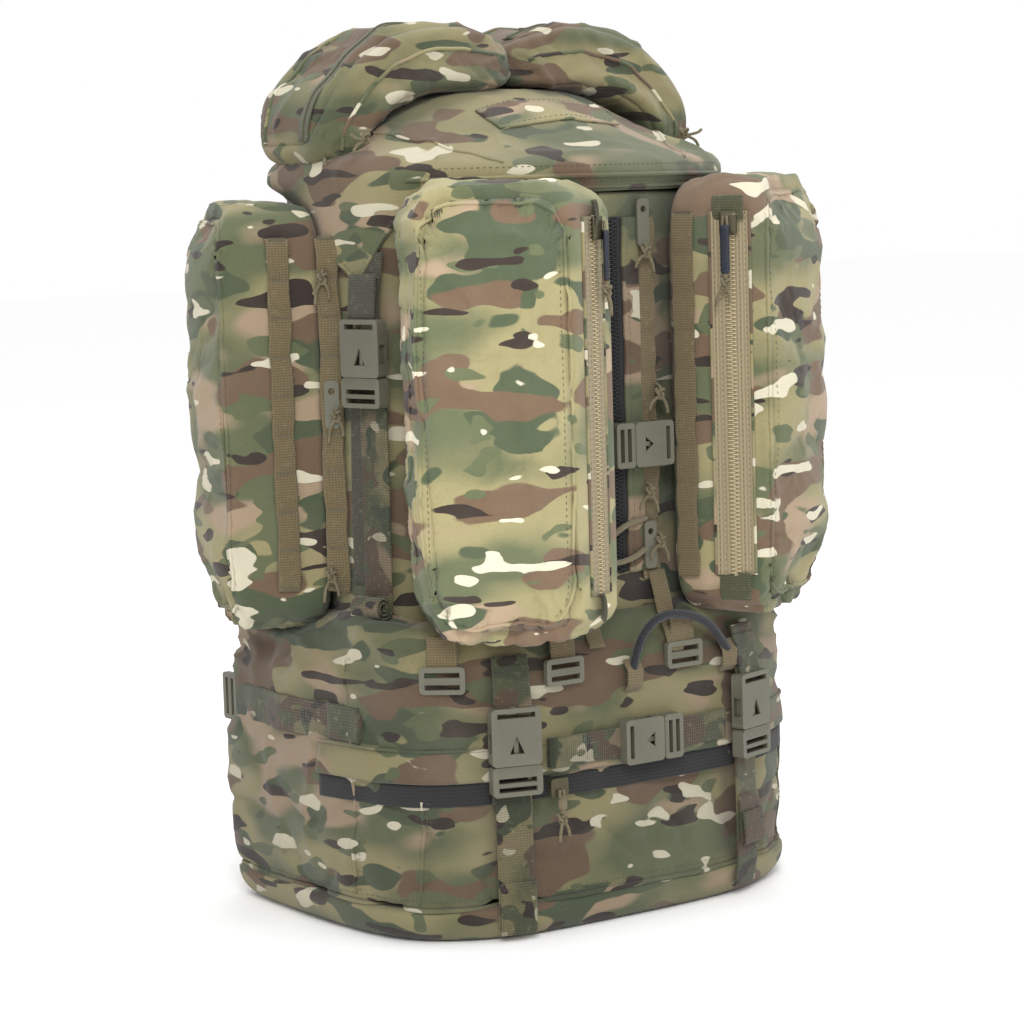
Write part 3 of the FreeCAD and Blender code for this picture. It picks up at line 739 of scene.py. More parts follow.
def inflate(verts, faces, pin, pressure=3.0, shrink=-0.03, cap=6.0, frames=14):
    """Blows a stuffed shape up as cloth, held where pin is 1, and returns where its points settle."""
    mesh = bpy.data.meshes.new("swatch")
    mesh.from_pydata((verts * MM).tolist(), [], [tuple(map(int, f)) for f in faces])
    obj = bpy.data.objects.new("swatch", mesh)
    bpy.context.scene.collection.objects.link(obj)
    group = obj.vertex_groups.new(name="pin")
    for i in np.flatnonzero(pin > 0.01):
        group.add([int(i)], float(min(pin[i], 1.0)), "REPLACE")
    cloth = obj.modifiers.new("cloth", "CLOTH")
    cloth.settings.quality = 4
    cloth.settings.mass = 0.25
    cloth.settings.tension_stiffness = 18
    cloth.settings.compression_stiffness = 12
    cloth.settings.bending_stiffness = 0.6
    cloth.settings.use_pressure = True
    cloth.settings.uniform_pressure_force = pressure
    cloth.settings.shrink_min = shrink
    cloth.settings.effector_weights.gravity = 0
    cloth.settings.vertex_group_mass = "pin"
    cloth.point_cache.frame_start = 1
    cloth.point_cache.frame_end = frames
    scene = bpy.context.scene
    for f in range(1, frames + 1):
        scene.frame_set(f)
    settled = obj.evaluated_get(bpy.context.evaluated_depsgraph_get())
    got = np.array([v.co for v in settled.data.vertices]) / MM
    scene.frame_set(1)
    bpy.data.objects.remove(obj)
    bpy.data.meshes.remove(mesh)
    move = got - verts
    far = np.linalg.norm(move, axis=1, keepdims=True)
    move *= np.minimum(1, cap / np.maximum(far, 1e-9))
    return verts + move * (1 - np.clip(pin, 0, 1))[:, None]


# ---- soft bodies ---------------------------------------------------------------------------------
def lower_bag():
    cols = 420
    ang = np.linspace(-180, 180, cols, endpoint=False)
    profile = resample([(0.02, BAG_LOW + 1), (0.96, BAG_LOW), (1.0, BAG_LOW + 2), (1.012, 60), (1.022, 105),
                        (1.008, 150), (0.985, 182), (0.95, 202), (0.86, 209), (0.6, 207), (0.02, 206)], 0.02)
    prof = spaced(np.array([(k * 150, z) for k, z in profile]), 2.6)
    flank = np.clip((np.abs(ang) - 46) / 36, 0, 1)
    rows = [polar(ang, bag_plan(ang) * (min(k, 149.6) + max(k - 149.6, 0) * flank) / 150, z) for k, z in prof]
    verts, faces = polar_skin(rows, cols)
    z = verts[:, 2]
    side = np.clip((np.hypot(verts[:, 0], verts[:, 1]) - 90) / 40, 0, 1)
    upper = np.clip((z - 125) / 50, 0, 1)
    under_zip = np.clip((100 - z) / 12, 0, 1)
    front = np.clip((-verts[:, 1] - 40) / 60, 0, 1)
    slant = verts + np.stack([0 * z, 0 * z, 0.35 * verts[:, 0]], 1)
    layers = [wave(verts, (85, 85, 60), 1) * 4.5 * side,
              fold(slant, (95, 95, 27), 3, 2.5) * 5.0 * upper * side,
              fold(verts, (60, 60, 18), 5, 2.0) * 3.2 * upper * side,
              -fold(slant, (60, 60, 50), 8, 4.0) * 2.6 * side,
              fold(verts * [1, 1, -0.8] + slant * 0.2, (70, 70, 34), 14, 3.0) * 2.2 * side,
              wave(verts, (26, 26, 14), 6) * 1.2 * side,
              -3.0 * under_zip * front * np.clip((z - BAG_LOW) / 20, 0, 1)]
    for x in (-100.0, 92.0):
        layers.append(-4.5 * np.exp(-((verts[:, 0] - x) / 17) ** 2) * front)
    belt = np.exp(-((z - 142) / 15) ** 2) * np.clip((np.abs(verts[:, 0]) - 150) / 15, 0, 1)
    layers.append(-4.0 * belt)
    total = sum(layers)
    total = total - np.maximum(total - 1.0, 0) * np.clip((-verts[:, 1] - 96) / 20, 0, 1)
    zip_band = np.clip(1.6 - np.abs(z - 100) / 9, 0, 1) * front
    total = total - np.maximum(total + 0.4, 0) * zip_band
    verts = crumple(verts, faces, [total])
    return skin("lower_bag_shell", verts, faces, CAMO["bag"], "pack", ["lower_bag"])


def base_panel():
    cols = 360
    ang = np.linspace(-180, 180, cols, endpoint=False)
    prof = spaced(resample([(2, 0.0), (132, 0.0), (143, 1.0), (149, 9), (151.5, 20), (150, 22.6), (140, 22.4),
                            (2, 22)], 2.0), 3.0)
    rows = [polar(ang, bag_plan(ang) * k / 150, z) for k, z in prof]
    verts, faces = polar_skin(rows, cols)
    live = np.clip((verts[:, 2] - 2) / 8, 0, 1)
    verts = crumple(verts, faces, [wave(verts, (60, 60, 25), 12) * 2.2 * live])
    return skin("base_cloth", verts, faces, CAMO["body"], "pack", ["base_panel"])


def main_sleeve():
    """One open sleeve with thickness: the walls of the main compartment and its floor."""
    cols = 320
    ang = np.linspace(-180, 180, cols, endpoint=False)
    rows = []
    low = BAG_TOP - 2
    for z in np.arange(low, WALL_TOP - 2, 5.0):
        ring = polar(ang, body_plan(ang), z)
        rows.append(ring)
    for drop, inset in ((1.5, 0.4), (0.2, 1.6), (0.2, 3.2), (1.5, 4.4)):
        rows.append(polar(ang, body_plan(ang) - inset, WALL_TOP - drop))
    for z in np.arange(WALL_TOP - 8, low + 8, -8.0):
        rows.append(polar(ang, body_plan(ang) - 4.6, z))
    rows.append(polar(ang, body_plan(ang) - 6.0, low + 6))
    for k in (0.8, 0.5, 0.2, 0.02):
        rows.append(polar(ang, body_plan(ang) * k, low + 4.5))
    verts, faces = polar_skin(rows, cols)
    n_out = len(np.arange(low, WALL_TOP - 2, 5.0)) * cols
    live = np.zeros(len(verts))
    live[:n_out] = 1
    live *= np.clip((WALL_TOP - verts[:, 2]) / 30, 0, 1)
    verts = crumple(verts, faces, [-np.abs(wave(verts, (60, 60, 45), 21)) * 2.2 * live])
    return skin("main_sleeve", verts, faces, CAMO["body"], "pack",
                ["front_panel", "left_panel", "right_panel", "rear_panel", "compartment_divider"])


def pillow(s, hx, hz, depth, corner, edge, crown, puff):
    """Stuffed slab from a cube grid: x across, n from 0 (back) to depth (front), z about its middle."""
    x, y, z = s.T
    m = np.maximum(np.maximum(np.abs(x), np.abs(z)), 1e-6)
    rim = np.stack([x / m * hx, z / m * hz], 1)
    limit = np.array([hx - corner, hz - corner])
    inner = np.clip(rim, -limit, limit)
    d = rim - inner
    rim = inner + d / np.maximum(np.linalg.norm(d, axis=1, keepdims=True), 1e-9) * corner
    t = (1 - y) / 2 * depth
    near = np.clip(edge - np.minimum(depth - t, t), 0, edge)
    inset = edge - np.sqrt(np.maximum(edge ** 2 - near ** 2, 0))
    bulge = puff * np.sin(np.pi * np.clip(t / depth, 0, 1)) ** 0.7
    ring = (m > 0.999)
    scale = np.where(ring, 1 + (bulge - inset) / hx, m * (1 - edge / hx))
    flat = rim * scale[:, None]
    dist = (1 - m) * hx
    dome = crown * (1 - x ** 2) * (1 - z ** 2)
    front = depth + dome
    n = np.where(ring, np.where(y < -0.999, depth - edge, t), np.where(y < 0, front, 0.0))
    corner_ring = ring & (np.abs(y) > 0.999)
    n = np.where(corner_ring & (y > 0), edge, n)
    blend = np.clip(dist / max(edge, 1e-6), 0, 1)
    roll = edge * (1 - np.sqrt(np.maximum(1 - (1 - blend) ** 2, 0)))
    n = np.where(~ring & (y < 0), front - roll, n)
    n = np.where(~ring & (y > 0), roll * 0.5, n)
    spread = m * (1 - edge / hx) + edge / hx * m ** 6
    flat = np.where(ring[:, None], flat, rim * spread[:, None])
    return np.stack([flat[:, 0], n, flat[:, 1]], 1)


# how far a pouch's inner and outer walls swell, from its back to its front
WALLS = {"front_left": ((0.0, 3.0, 14.0, -0.5, -18.0), (6.0, 8.0, 10.0, 8.0, 4.0)),
         "front_right": ((0.0, 2.0, 4.0, 0.5, -6.0), (0.0, 2.0, 5.0, 5.0, 3.0)),
         "side_left": ((0, 0, 0, 0, 0), (0, 2.0, 4.0, 4.0, 1.0)),
         "side_right": ((0, 0, 0, 0, 0), (0, 2.0, 4.0, 4.0, 1.0))}


def pouch(name, node, place, side, seed, taper, key):
    """A stand-off pouch: crowned front, seamed rim, and walls that pucker at the seams."""
    face = Face(*place, side)
    low, top = node_low(node) - 4.0, node_top(node) + 3.0
    hz, mid = (top - low) / 2, (top + low) / 2
    s, faces = box_grid(46, 26, 104)
    local = pillow(s, POUCH_HALF, hz, POUCH_DEPTH - 2, 26, 9, 9, 1.5)
    x, n, z = local.T
    t = (z + hz) / (2 * hz)
    narrow = 1 - taper * np.clip((0.35 - t) / 0.35, 0, 1) ** 1.5
    front = np.clip(n / POUCH_DEPTH, 0, 1.2)
    x = np.where(x > 0, x * narrow * (1 - 0.05 * front), x)
    n = n * (1 - 0.10 * np.clip((0.16 - t) / 0.16, 0, 1)) * (1 - 0.10 * np.clip((t - 0.9) / 0.1, 0, 1))
    local = np.stack([x, n, z], 1)
    back = np.clip(n / 20, 0, 1)
    low_end = np.clip((0.22 - t) / 0.22, 0, 1)
    high_end = np.clip((t - 0.86) / 0.14, 0, 1)
    rim = np.exp(-np.abs(np.maximum(np.abs(s[:, 0]), np.abs(s[:, 2])) - 1) * 16) * (s[:, 1] < 0)
    ends = np.maximum(low_end, high_end * 0.6)
    layers = [wave(local, (48, 48, 70), seed) * 2.6 * back,
              fold(local, (26, 40, 46), seed + 1, 2.5) * 3.2 * low_end * back,
              fold(local, (16, 40, 28), seed + 2, 2.0) * 1.8 * ends * back,
              -fold(local, (70, 60, 95), seed + 3, 4.0) * 1.8 * back,
              wave(local, (11, 11, 11), seed + 4) * 0.9 * rim * back,
              wave(local, (20, 20, 26), seed + 5) * 0.6 * back]
    wall = np.clip((-local[:, 0] - POUCH_HALF + 14) / 12, 0, 1)
    wall = wall * np.clip((POUCH_DEPTH - 6 - local[:, 1]) / 8, 0, 1)
    seam = ((np.abs(np.maximum(np.abs(s[:, 0]), np.abs(s[:, 2])) - 1) < 0.03) & (s[:, 1] < -0.95)) * 0.9
    pin = np.maximum(np.maximum(wall, seam), np.clip((12 - local[:, 1]) / 8, 0, 1))
    local = inflate(local, faces, pin, 2.2, -0.035, 5.0)
    local = crumple(local, faces, [sum(layers) * (1 - 0.85 * wall)])
    local[:, 0] = np.where(wall > 0.5, np.maximum(local[:, 0], -POUCH_HALF - 0.1), local[:, 0])
    steps = [0, 5, 25, ZIP_OUT, POUCH_DEPTH]
    share = np.clip(local[:, 0] / 48, -1, 1)
    inner, outer = (np.interp(local[:, 1], steps, swell) for swell in WALLS[key])
    local[:, 0] += np.where(share < 0, share * inner, share * outer)
    local[:, 1] = np.maximum(local[:, 1], 0.6)
    verts = face(local + np.array([0, 0, mid]))
    return skin(name, verts, faces, CAMO[key], "pack", [node], side < 0)


SKIRT = ([-180, -118, -102, -92, -84, -75, -68, -62, -57, 57, 62, 68, 75, 84, 92, 102, 118, 180],
         [486, 485, 474, 462, 449, 430, 458, 478, 488, 488, 478, 458, 430, 449, 462, 474, 485, 486])


def lid_shell():
    """Domed lid with a skirt that comes down to a point at each strap, hollow underneath."""
    cols = 480
    ang = np.linspace(-180, 180, cols, endpoint=False)
    skirt = np.interp(ang, *SKIRT)
    full = lid_plan(ang)
    brow = np.exp(-(ang / 48) ** 4) * 6.0
    tight = np.minimum(body_plan(ang) + 3.4, full)
    rows = []
    for t in np.linspace(0, 1, 14):
        ease = t * t * (3 - 2 * t)
        rows.append(polar(ang, tight + (full + brow - tight) * ease, skirt + (500 - skirt) * t))
    dome = [(150, 500, 0), (149, 506, 1), (144, 511, 4), (134, 516, 9), (120, 524, 15), (106, 533, 22),
            (92, 544, 29), (78, 553, 35), (56, 558, 40), (28, 559, 42), (4, 559, 42)]
    for k, z, back in spaced(resample(dome, 1.5), 3.0)[1:]:
        rows.append(polar(ang, (full + brow) * k / 150, z) + [0, back, 0])
    outer = len(rows)
    inner = []
    for ring in rows[::-1]:
        mid = np.array([0, CENTRE_Y])
        flat = ring[:, :2] - mid
        r = np.linalg.norm(flat, axis=1, keepdims=True)
        pulled = mid + flat * np.maximum(r - 2.0, 1) / r
        drop = 5.0 * np.clip((ring[:, 2:] - 500) / 30, 0, 1)
        inner.append(np.concatenate([pulled, ring[:, 2:] - drop + 0.8 * (drop < 0.01)], 1))
    rows += inner
    verts = np.concatenate(rows)
    faces = grid_faces(len(rows), cols)
    faces += [((len(rows) - 1) * cols + j, (len(rows) - 1) * cols + (j + 1) % cols, (j + 1) % cols, j)
              for j in range(cols)]
    live = np.zeros(len(verts))
    live[:outer * cols] = 1
    z = verts[:, 2]
    shoulder = np.clip((z - 478) / 30, 0, 1) * live
    gather = np.exp(-((verts[:, 0] + 132) / 42) ** 2 - ((verts[:, 1] + 62) / 50) ** 2)
    gather += np.exp(-((verts[:, 0] - 132) / 42) ** 2 - ((verts[:, 1] + 62) / 50) ** 2)
    layers = [wave(verts, (70, 70, 60), 31) * 3.0 * shoulder,
              fold(verts, (34, 60, 80), 33, 2.2) * 3.8 * gather * shoulder,
              fold(verts, (80, 50, 40), 35, 2.5) * 2.2 * shoulder,
              wave(verts, (24, 24, 24), 36) * 0.8 * shoulder]
    verts = crumple(verts, faces, layers)
    return skin("lid_shell", verts, faces, CAMO["lid"], "lid", ["lid_top", "lid_flaps"])


LID_POUCH_MID = 25.0
LID_SPINE = [(3, 573), (26, 578), (57, 580), (90, 574), (118, 558), (136, 536), (144, 514)]


def lid_pouch(side, seed, key):
    """Banana pouch that arches over the lid's rear and droops at its outer end."""
    spine = spaced(resample(LID_SPINE, 1.0), 1.0)
    length = len(spine) - 1
    s, faces = box_grid(64, 36, 22)
    local = pillow(s[:, [0, 2, 1]] * np.array([1, -1, 1]), length / 2, 47, 46, 20, 10, 3, 2)
    along, thick, depth = local[:, 0] + length / 2, local[:, 1] - 23, local[:, 2]
    t = np.clip(along / length, 0, 1)
    i = np.clip(along.astype(int), 0, length - 1)
    base = np.stack([np.interp(along, np.arange(length + 1), spine[:, c]) for c in (0, 1)], 1)
    tan = spine[i + 1] - spine[i]
    tan /= np.linalg.norm(tan, axis=1, keepdims=True)
    over = np.clip(along - length, 0, 20) + np.clip(along, -20, 0)
    base = base + tan * over[:, None]
    nrm = np.stack([-tan[:, 1], tan[:, 0]], 1)
    fat = (1.0 - 0.35 * np.abs(2 * t - 1) ** 3) * np.where(thick > 0, 1.0, 0.9)
    lean = 1 - 0.12 * np.clip(thick / 23, -1, 1)
    verts = np.stack([(base + nrm * (thick * fat)[:, None])[:, 0],
                      LID_POUCH_MID + depth * (1 - 0.10 * t) * lean,
                      (base + nrm * (thick * fat)[:, None])[:, 1]], 1)
    layers = [wave(verts, (60, 50, 50), seed) * 2.5, fold(verts, (40, 60, 50), seed + 1, 2.5) * 2.4,
              wave(verts, (18, 18, 18), seed + 2) * 0.6]
    pin = np.clip(1 - np.abs(thick) / 4, 0, 1) * (np.abs(np.abs(depth) - 47) < 3) * 0.8
    verts = inflate(verts, faces, pin, 1.5, -0.03, 4.0)
    verts = crumple(verts, faces, layers)
    verts[:, 2] = np.minimum(verts[:, 2], 606)
    verts[:, 0] *= side
    return skin("lid_pouch_cloth_" + hand(side), verts, faces, CAMO[key], "lid",
                ["lid_pouch_" + hand(side)], side > 0)


# ---- fittings on the front -----------------------------------------------------------------------
def bungee_cord():
    """Short elastic tie on the front of the lower bag, both ends tucked into tabs."""
    route = [(-6, -143.7, 170), (-4, -147, 190), (14, -148, 206), (42, -148, 203), (62, -147, 192),
             (75, -143.7, 175)]
    curve = bpy.data.curves.new("bungee_tie", "CURVE")
    curve.dimensions = "3D"
    curve.bevel_depth = 3.0 * MM
    curve.bevel_resolution = 4
    curve.use_fill_caps = True
    spline = curve.splines.new("NURBS")
    spline.points.add(len(route) - 1)
    for point, at in zip(spline.points, route):
        point.co = (*(c * MM for c in at), 1)
    spline.order_u = 3
    spline.use_endpoint_u = True
    spline.resolution_u = 16
    curve.materials.append(BUNGEE)
    obj = bpy.data.objects.new("bungee_tie", curve)
    bpy.context.scene.collection.objects.link(obj)
    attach(obj, "pack")
    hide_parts("bungee_cord")


def daisy_webbing(bvh):
    webs, tacks = [], []
    runs = []
    for side in (-1, 1):
        key = hand(side)
        runs.append((inner_wall(side), 14, 227, 471, bvh["front_" + key]))
        corner = Face(*SIDE_POUCH, side)([(-POUCH_HALF, 0, 0)])[0]
        runs.append((Face(corner[0] * side, corner[1], 20, side), 31, 227, 462, bvh["side_" + key]))
        runs.append((Face(28, BODY_FRONT, 0, side), 0, 226, 470, bvh["sleeve"]))
        runs.append((Face(157, -20.2, 38, side), 0, 226, 462, None))
    for run in runs:
        web, tack = daisy_run(*run)
        webs.append(web)
        tacks += tack
    piece("daisy_chain_webbing", webs, WEBBING, "pack", ["daisy_chains"])
    piece("daisy_chain_tacks", tacks, STITCH, "pack")


def garage(face, x, z, n, w=22, h=16):
    """Folded tab that covers one end of a zip."""
    path = face([(x, n + 0.2, z - h / 2), (x, n + 1.4, z - h / 4), (x, n + 1.6, z), (x, n + 1.3, z + h / 4),
                 (x, n + 0.2, z + h / 2)])
    return strip(resample(path, 1.5), -face.right * face.side, w, 1.5)


def pouch_zip(side, bvh):
    """Zip down a front pouch's inner wall: tape, coil, end tabs and the slider's body."""
    wall = inner_wall(side)
    z = np.arange(472, 226.9, -3.0)
    edges = [wall(np.stack([np.full_like(z, ZIP_OUT + dx), 0 * z, z], 1)) for dx in (-9, 9)]
    near, far = (drape(edge, wall.out, bvh, 0.0, smooth=8) for edge in edges)
    near, far = (edge + np.outer(np.percentile(edge @ wall.out, 85) - edge @ wall.out, wall.out)
                 for edge in (near, far))
    mid = (near + far) / 2
    across = unit((far - near).mean(0))
    side_vec = -across * wall.side
    lift = np.cross(side_vec, [0, 0, -1.0])
    tapes = [strip(mid + lift * 0.7, side_vec, 26, 0.9)]
    coil = [bars(mid + lift * 1.2, side_vec, 4.6, 1.35, 0.95, 1.2, 1.25)]
    edges = []
    for dx in (-10.5, 10.5, -6.4, 6.4):
        edges.append(stitches(mid + across * dx + lift * 1.15, lift, 2.4, 1.4, 0.26))
    hems = []
    for dx in (-13.4, 13.4):
        hems.append(tube(mid + across * dx + lift * 0.8, 1.15, 7))
    tabs = [garage(wall, ZIP_OUT, 474.5, 2.2), garage(wall, ZIP_OUT, 221.0, 1.2, 22, 18)]
    key = hand(side)
    piece("pouch_slider_body_" + key, [strip(mid[:6] + lift * 4.4, side_vec, 12, 3.0)], ENAMEL,
          "zip_slider_" + key, ["pouch_slider_" + key])
    return tapes, coil, edges, hems, tabs


def pouch_zip_pieces(bvh):
    tapes, coils, edges, hems, tabs = [], [], [], [], []
    for side in (-1, 1):
        parts = pouch_zip(side, bvh["front_" + hand(side)])
        for bag_of, part in zip((tapes, coils, edges, hems, tabs), parts):
            bag_of += part
    piece("pouch_zip_tapes", tapes, BEIGE, "pack", ["pouch_zips"])
    piece("pouch_zip_coils", coils, COIL, "pack")
    piece("pouch_zip_stitching", edges, STITCH, "pack")
    piece("pouch_zip_hems", hems, CAMO["trim"], "pack")
    piece("pouch_zip_garages", tabs, GREEN_WEB, "pack")


def pull_parts(face, x, n, z_top, z_low):
    """Cord loop through the slider, rubber sleeve, knot and tails."""
    top = face([(x, n + 1.0, z_top - 1)])[0]
    mid = face([(x, n + 1.8, (z_top + z_low) / 2)])[0]
    low = face([(x, n + 1.8, z_low)])[0]
    loop = [tube(resample([top + face.right * s * 1.2, top * 0.5 + mid * 0.5 + face.right * s * 2.0,
                           mid], 1.5), 0.9, 7) for s in (-1, 1)]
    s0, s1 = face([(x, n + 1.8, z_top - 7)])[0], face([(x, n + 1.8, z_low + 3)])[0]
    body = spaced([s0, s1], 2.0)
    radius = np.full(len(body), 3.1)
    radius[0] = radius[-1] = 2.5
    rubber = tube(body, radius, 12)
    flat = rubber[0] - s0
    depth = flat @ face.out
    squashed = rubber[0] - np.outer(depth - np.clip(depth, -1.7, 1.7), face.out)
    cord = loop + [tube(resample([s1 + [0, 0, 2], low], 1.5), 1.7, 8)]
    return [(squashed, rubber[1], rubber[2])], cord, low


def pouch_pulls():
    for side in (-1, 1):
        key = hand(side)
        wall = inner_wall(side)
        rubber, cord, low = pull_parts(wall, ZIP_OUT, 7.6, 470, 428)
        lean = wall.right * side
        tails = [tuple(lean * -6 + wall.out * 1.5 + [0, 0, -14]), tuple(lean * 3 + wall.out * 2 + [0, 0, -11])]
        cord += knotted_cord(low + [0, 0, -3.5], tails, side)
        piece("pull_sleeve_" + key, rubber, SLEEVE, "zip_pull_" + key, ["pouch_pull_" + key])
        piece("pull_cord_" + key, cord, CORD, "zip_pull_" + key)


def centre_zip(bvh):
    """Black coil zip up the middle of the body, with a folded camo placket each side."""
    face = Face(0, BODY_FRONT, 0)
    z = np.arange(470, 231.9, -3.0)
    mid = drape(face(np.stack([0 * z, 0 * z, z], 1)), face.out, bvh, 0.0, smooth=8)
    piece("front_zip_tape", [strip(mid + face.out * 0.7, -face.right, 22, 0.9)], BLACK_TAPE, "pack",
          ["front_panel_zip"])
    piece("front_zip_coil", [bars(mid + face.out * 1.2, -face.right, 4.6, 1.35, 0.95, 1.3, 1.25)], BLACK_COIL,
          "pack")
    plackets, hem = [], []
    for dx in (-1, 1):
        wob = 1.3 * np.array([noise.noise(Vector((dx * 3.0, zz / 30.0, 1.0))) for zz in z])
        edge = mid + face.right * (dx * (8.5 + wob))[:, None] + face.out * 1.9
        plackets.append(strip(mid + face.right * dx * 14.5 + face.out * 1.5, -face.right, 14, 1.4))
        plackets.append(tube(edge, 1.5, 7))
        hem.append(stitches(mid + face.right * dx * 12.0 + face.out * 2.35, face.out, 2.4, 1.4, 0.26))
    piece("front_zip_plackets", plackets, CAMO["body"], "pack")
    piece("front_zip_stitching", hem, STITCH, "pack")


def spiral(face, cx, cn, cz, r0, r1, turns):
    a = np.linspace(math.pi, math.pi + turns * 2 * math.pi, int(44 * turns))
    r = np.linspace(r0, r1, len(a))
    return face(np.stack([np.full_like(a, cx), cn + r * np.cos(a), cz + r * np.sin(a)], 1))


def long_straps():
    """Straps below the lid buckles and the lower buckles, with their rolled or folded ends."""
    parts, dark = [], []
    for side in (-1, 1):
        face = Face(*LID_STRAP, side)
        across = -face.right * face.side
        run = face([(0, 1.6, 396), (0, 1.5, 380), (0, 1.3, 330), (0, 1.5, 280), (0, 1.9, 245), (0, 2.4, 224)])
        roll = spiral(face, 0, 10.3, 219, 8.0, 2.6, 2.2)
        parts.append(strip(np.concatenate([resample(run, 2.0)[:-1], roll]), across, WEB, 1.6))
        back = face([(9, 0.4, 384), (10, 0.2, 330), (12, 0.2, 280), (11, 0.4, 232)])
        dark.append(strip(resample(back, 3.0), across, WEB, 1.2))
    for x, az in ((-100.0, -16.9), (92.0, 16.9)):
        a = math.radians(abs(az))
        side = 1 if x > 0 else -1
        y = BAG_FRONT + (abs(x) - 80) * math.tan(a)
        face = Face(abs(x), y, abs(az), side)
        across = -face.right * face.side
        low = resample(face([(0, 2.6, 99), (0, 2.8, 80), (0, 3.2, 50), (0, 3.0, 26), (0, 0.2, 8)]), 2.5)
        top = resample(face([(0, 0.8, 190), (0, 2.6, 182), (0, 3.2, 170), (0, 4.6, 157), (0, 7.6, 151),
                             (0, 9.6, 155), (0, 6.4, 163), (0, 4.6, 176), (0, 2.4, 184)]), 2.0)
        parts += [strip(low, across, WEB, 1.6), strip(top, across, WEB, 1.5)]
        tail = [(-1, 4.8, 40), (-1, 4.8, 14), (-1, 3.0, 5)]
        if x > 0:
            tail = [(1, 3.8, 71), (1, 5.2, 64), (1, 5.6, 48), (1, 6.2, 39), (1, 8.6, 36), (1, 9.2, 44),
                    (1, 7.4, 60)]
        parts.append(strip(resample(face(tail), 2.0), across, WEB, 1.5))
        back = resample(face([(2, 1.2, 150), (2, 1.2, 118), (2, 1.6, 92)]), 3.0)
        dark.append(strip(back, across, WEB, 1.2))
    piece("long_strap_webbing", parts, JACQUARD, "pack", ["strap_runs"])
    piece("long_strap_backing", dark, DARK_WEB, "pack")


def cross_webs(bvh):
    """Level webbing at the two front buckles and across the corners, with the side straps' keepers."""
    parts, dark = [], []
    body, bag_face = Face(0, BODY_FRONT, 0), Face(0, BAG_FRONT, 0)
    up = np.array([0, 0, 1.0])
    for x0, x1 in ((-30, -3), (34, 42)):
        parts.append(strip(body(line((x0, 3.0, 319), (x1, 3.2, 319))), up, 20, 1.5))
    for route in ([(-76, 0.5), (-70, 3.0), (-45, 4.0), (-27, 4.2), (-14, 5.0)],
                  [(-48, 5.4), (-66, 6.6), (-73, 5.8), (-76, 3.0)],
                  [(12, 4.6), (30, 4.6), (52, 3.2), (66, 2.6), (74, 0.4)]):
        parts.append(strip(resample(bag_face([(x, n, 123) for x, n in route]), 2.0), up, 20, 1.6))
    piece("cross_strap_webbing", parts, JACQUARD, "pack", ["cross_straps"])
    runs, keepers = [], []
    for side in (-1, 1):
        y = np.arange(112, -64, -3.0)
        pts = np.stack([np.full_like(y, 172.0 * side), y, np.full_like(y, 142.5)], 1)
        pts = drape(pts, [side, 0, 0], bvh["bag"], 1.2, smooth=10)
        runs.append(strip(pts, up, WEB, 1.6))
        pts = np.stack([np.full(9, 172.0 * side), np.linspace(-30, -62, 9), np.full(9, 142.5)], 1)
        front_end = drape(pts, [side, 0, 0], bvh["bag"], 2.6, smooth=10)
        runs.append(strip(front_end, up, WEB, 1.5))
        z = np.arange(163, 114, -2.0)
        bow = 2.6 * np.exp(-((z - 142.5) / 13) ** 4)
        pts = np.stack([(172.4 + bow) * side, np.full_like(z, 68), z], 1)
        keepers.append(strip(pts, [0, -side, 0], 15, 1.6))
    piece("side_strap_webbing", runs, JACQUARD, "pack", ["side_straps"])
    piece("side_strap_keeper_webs", keepers, WEBBING, "pack", ["side_strap_keepers"])


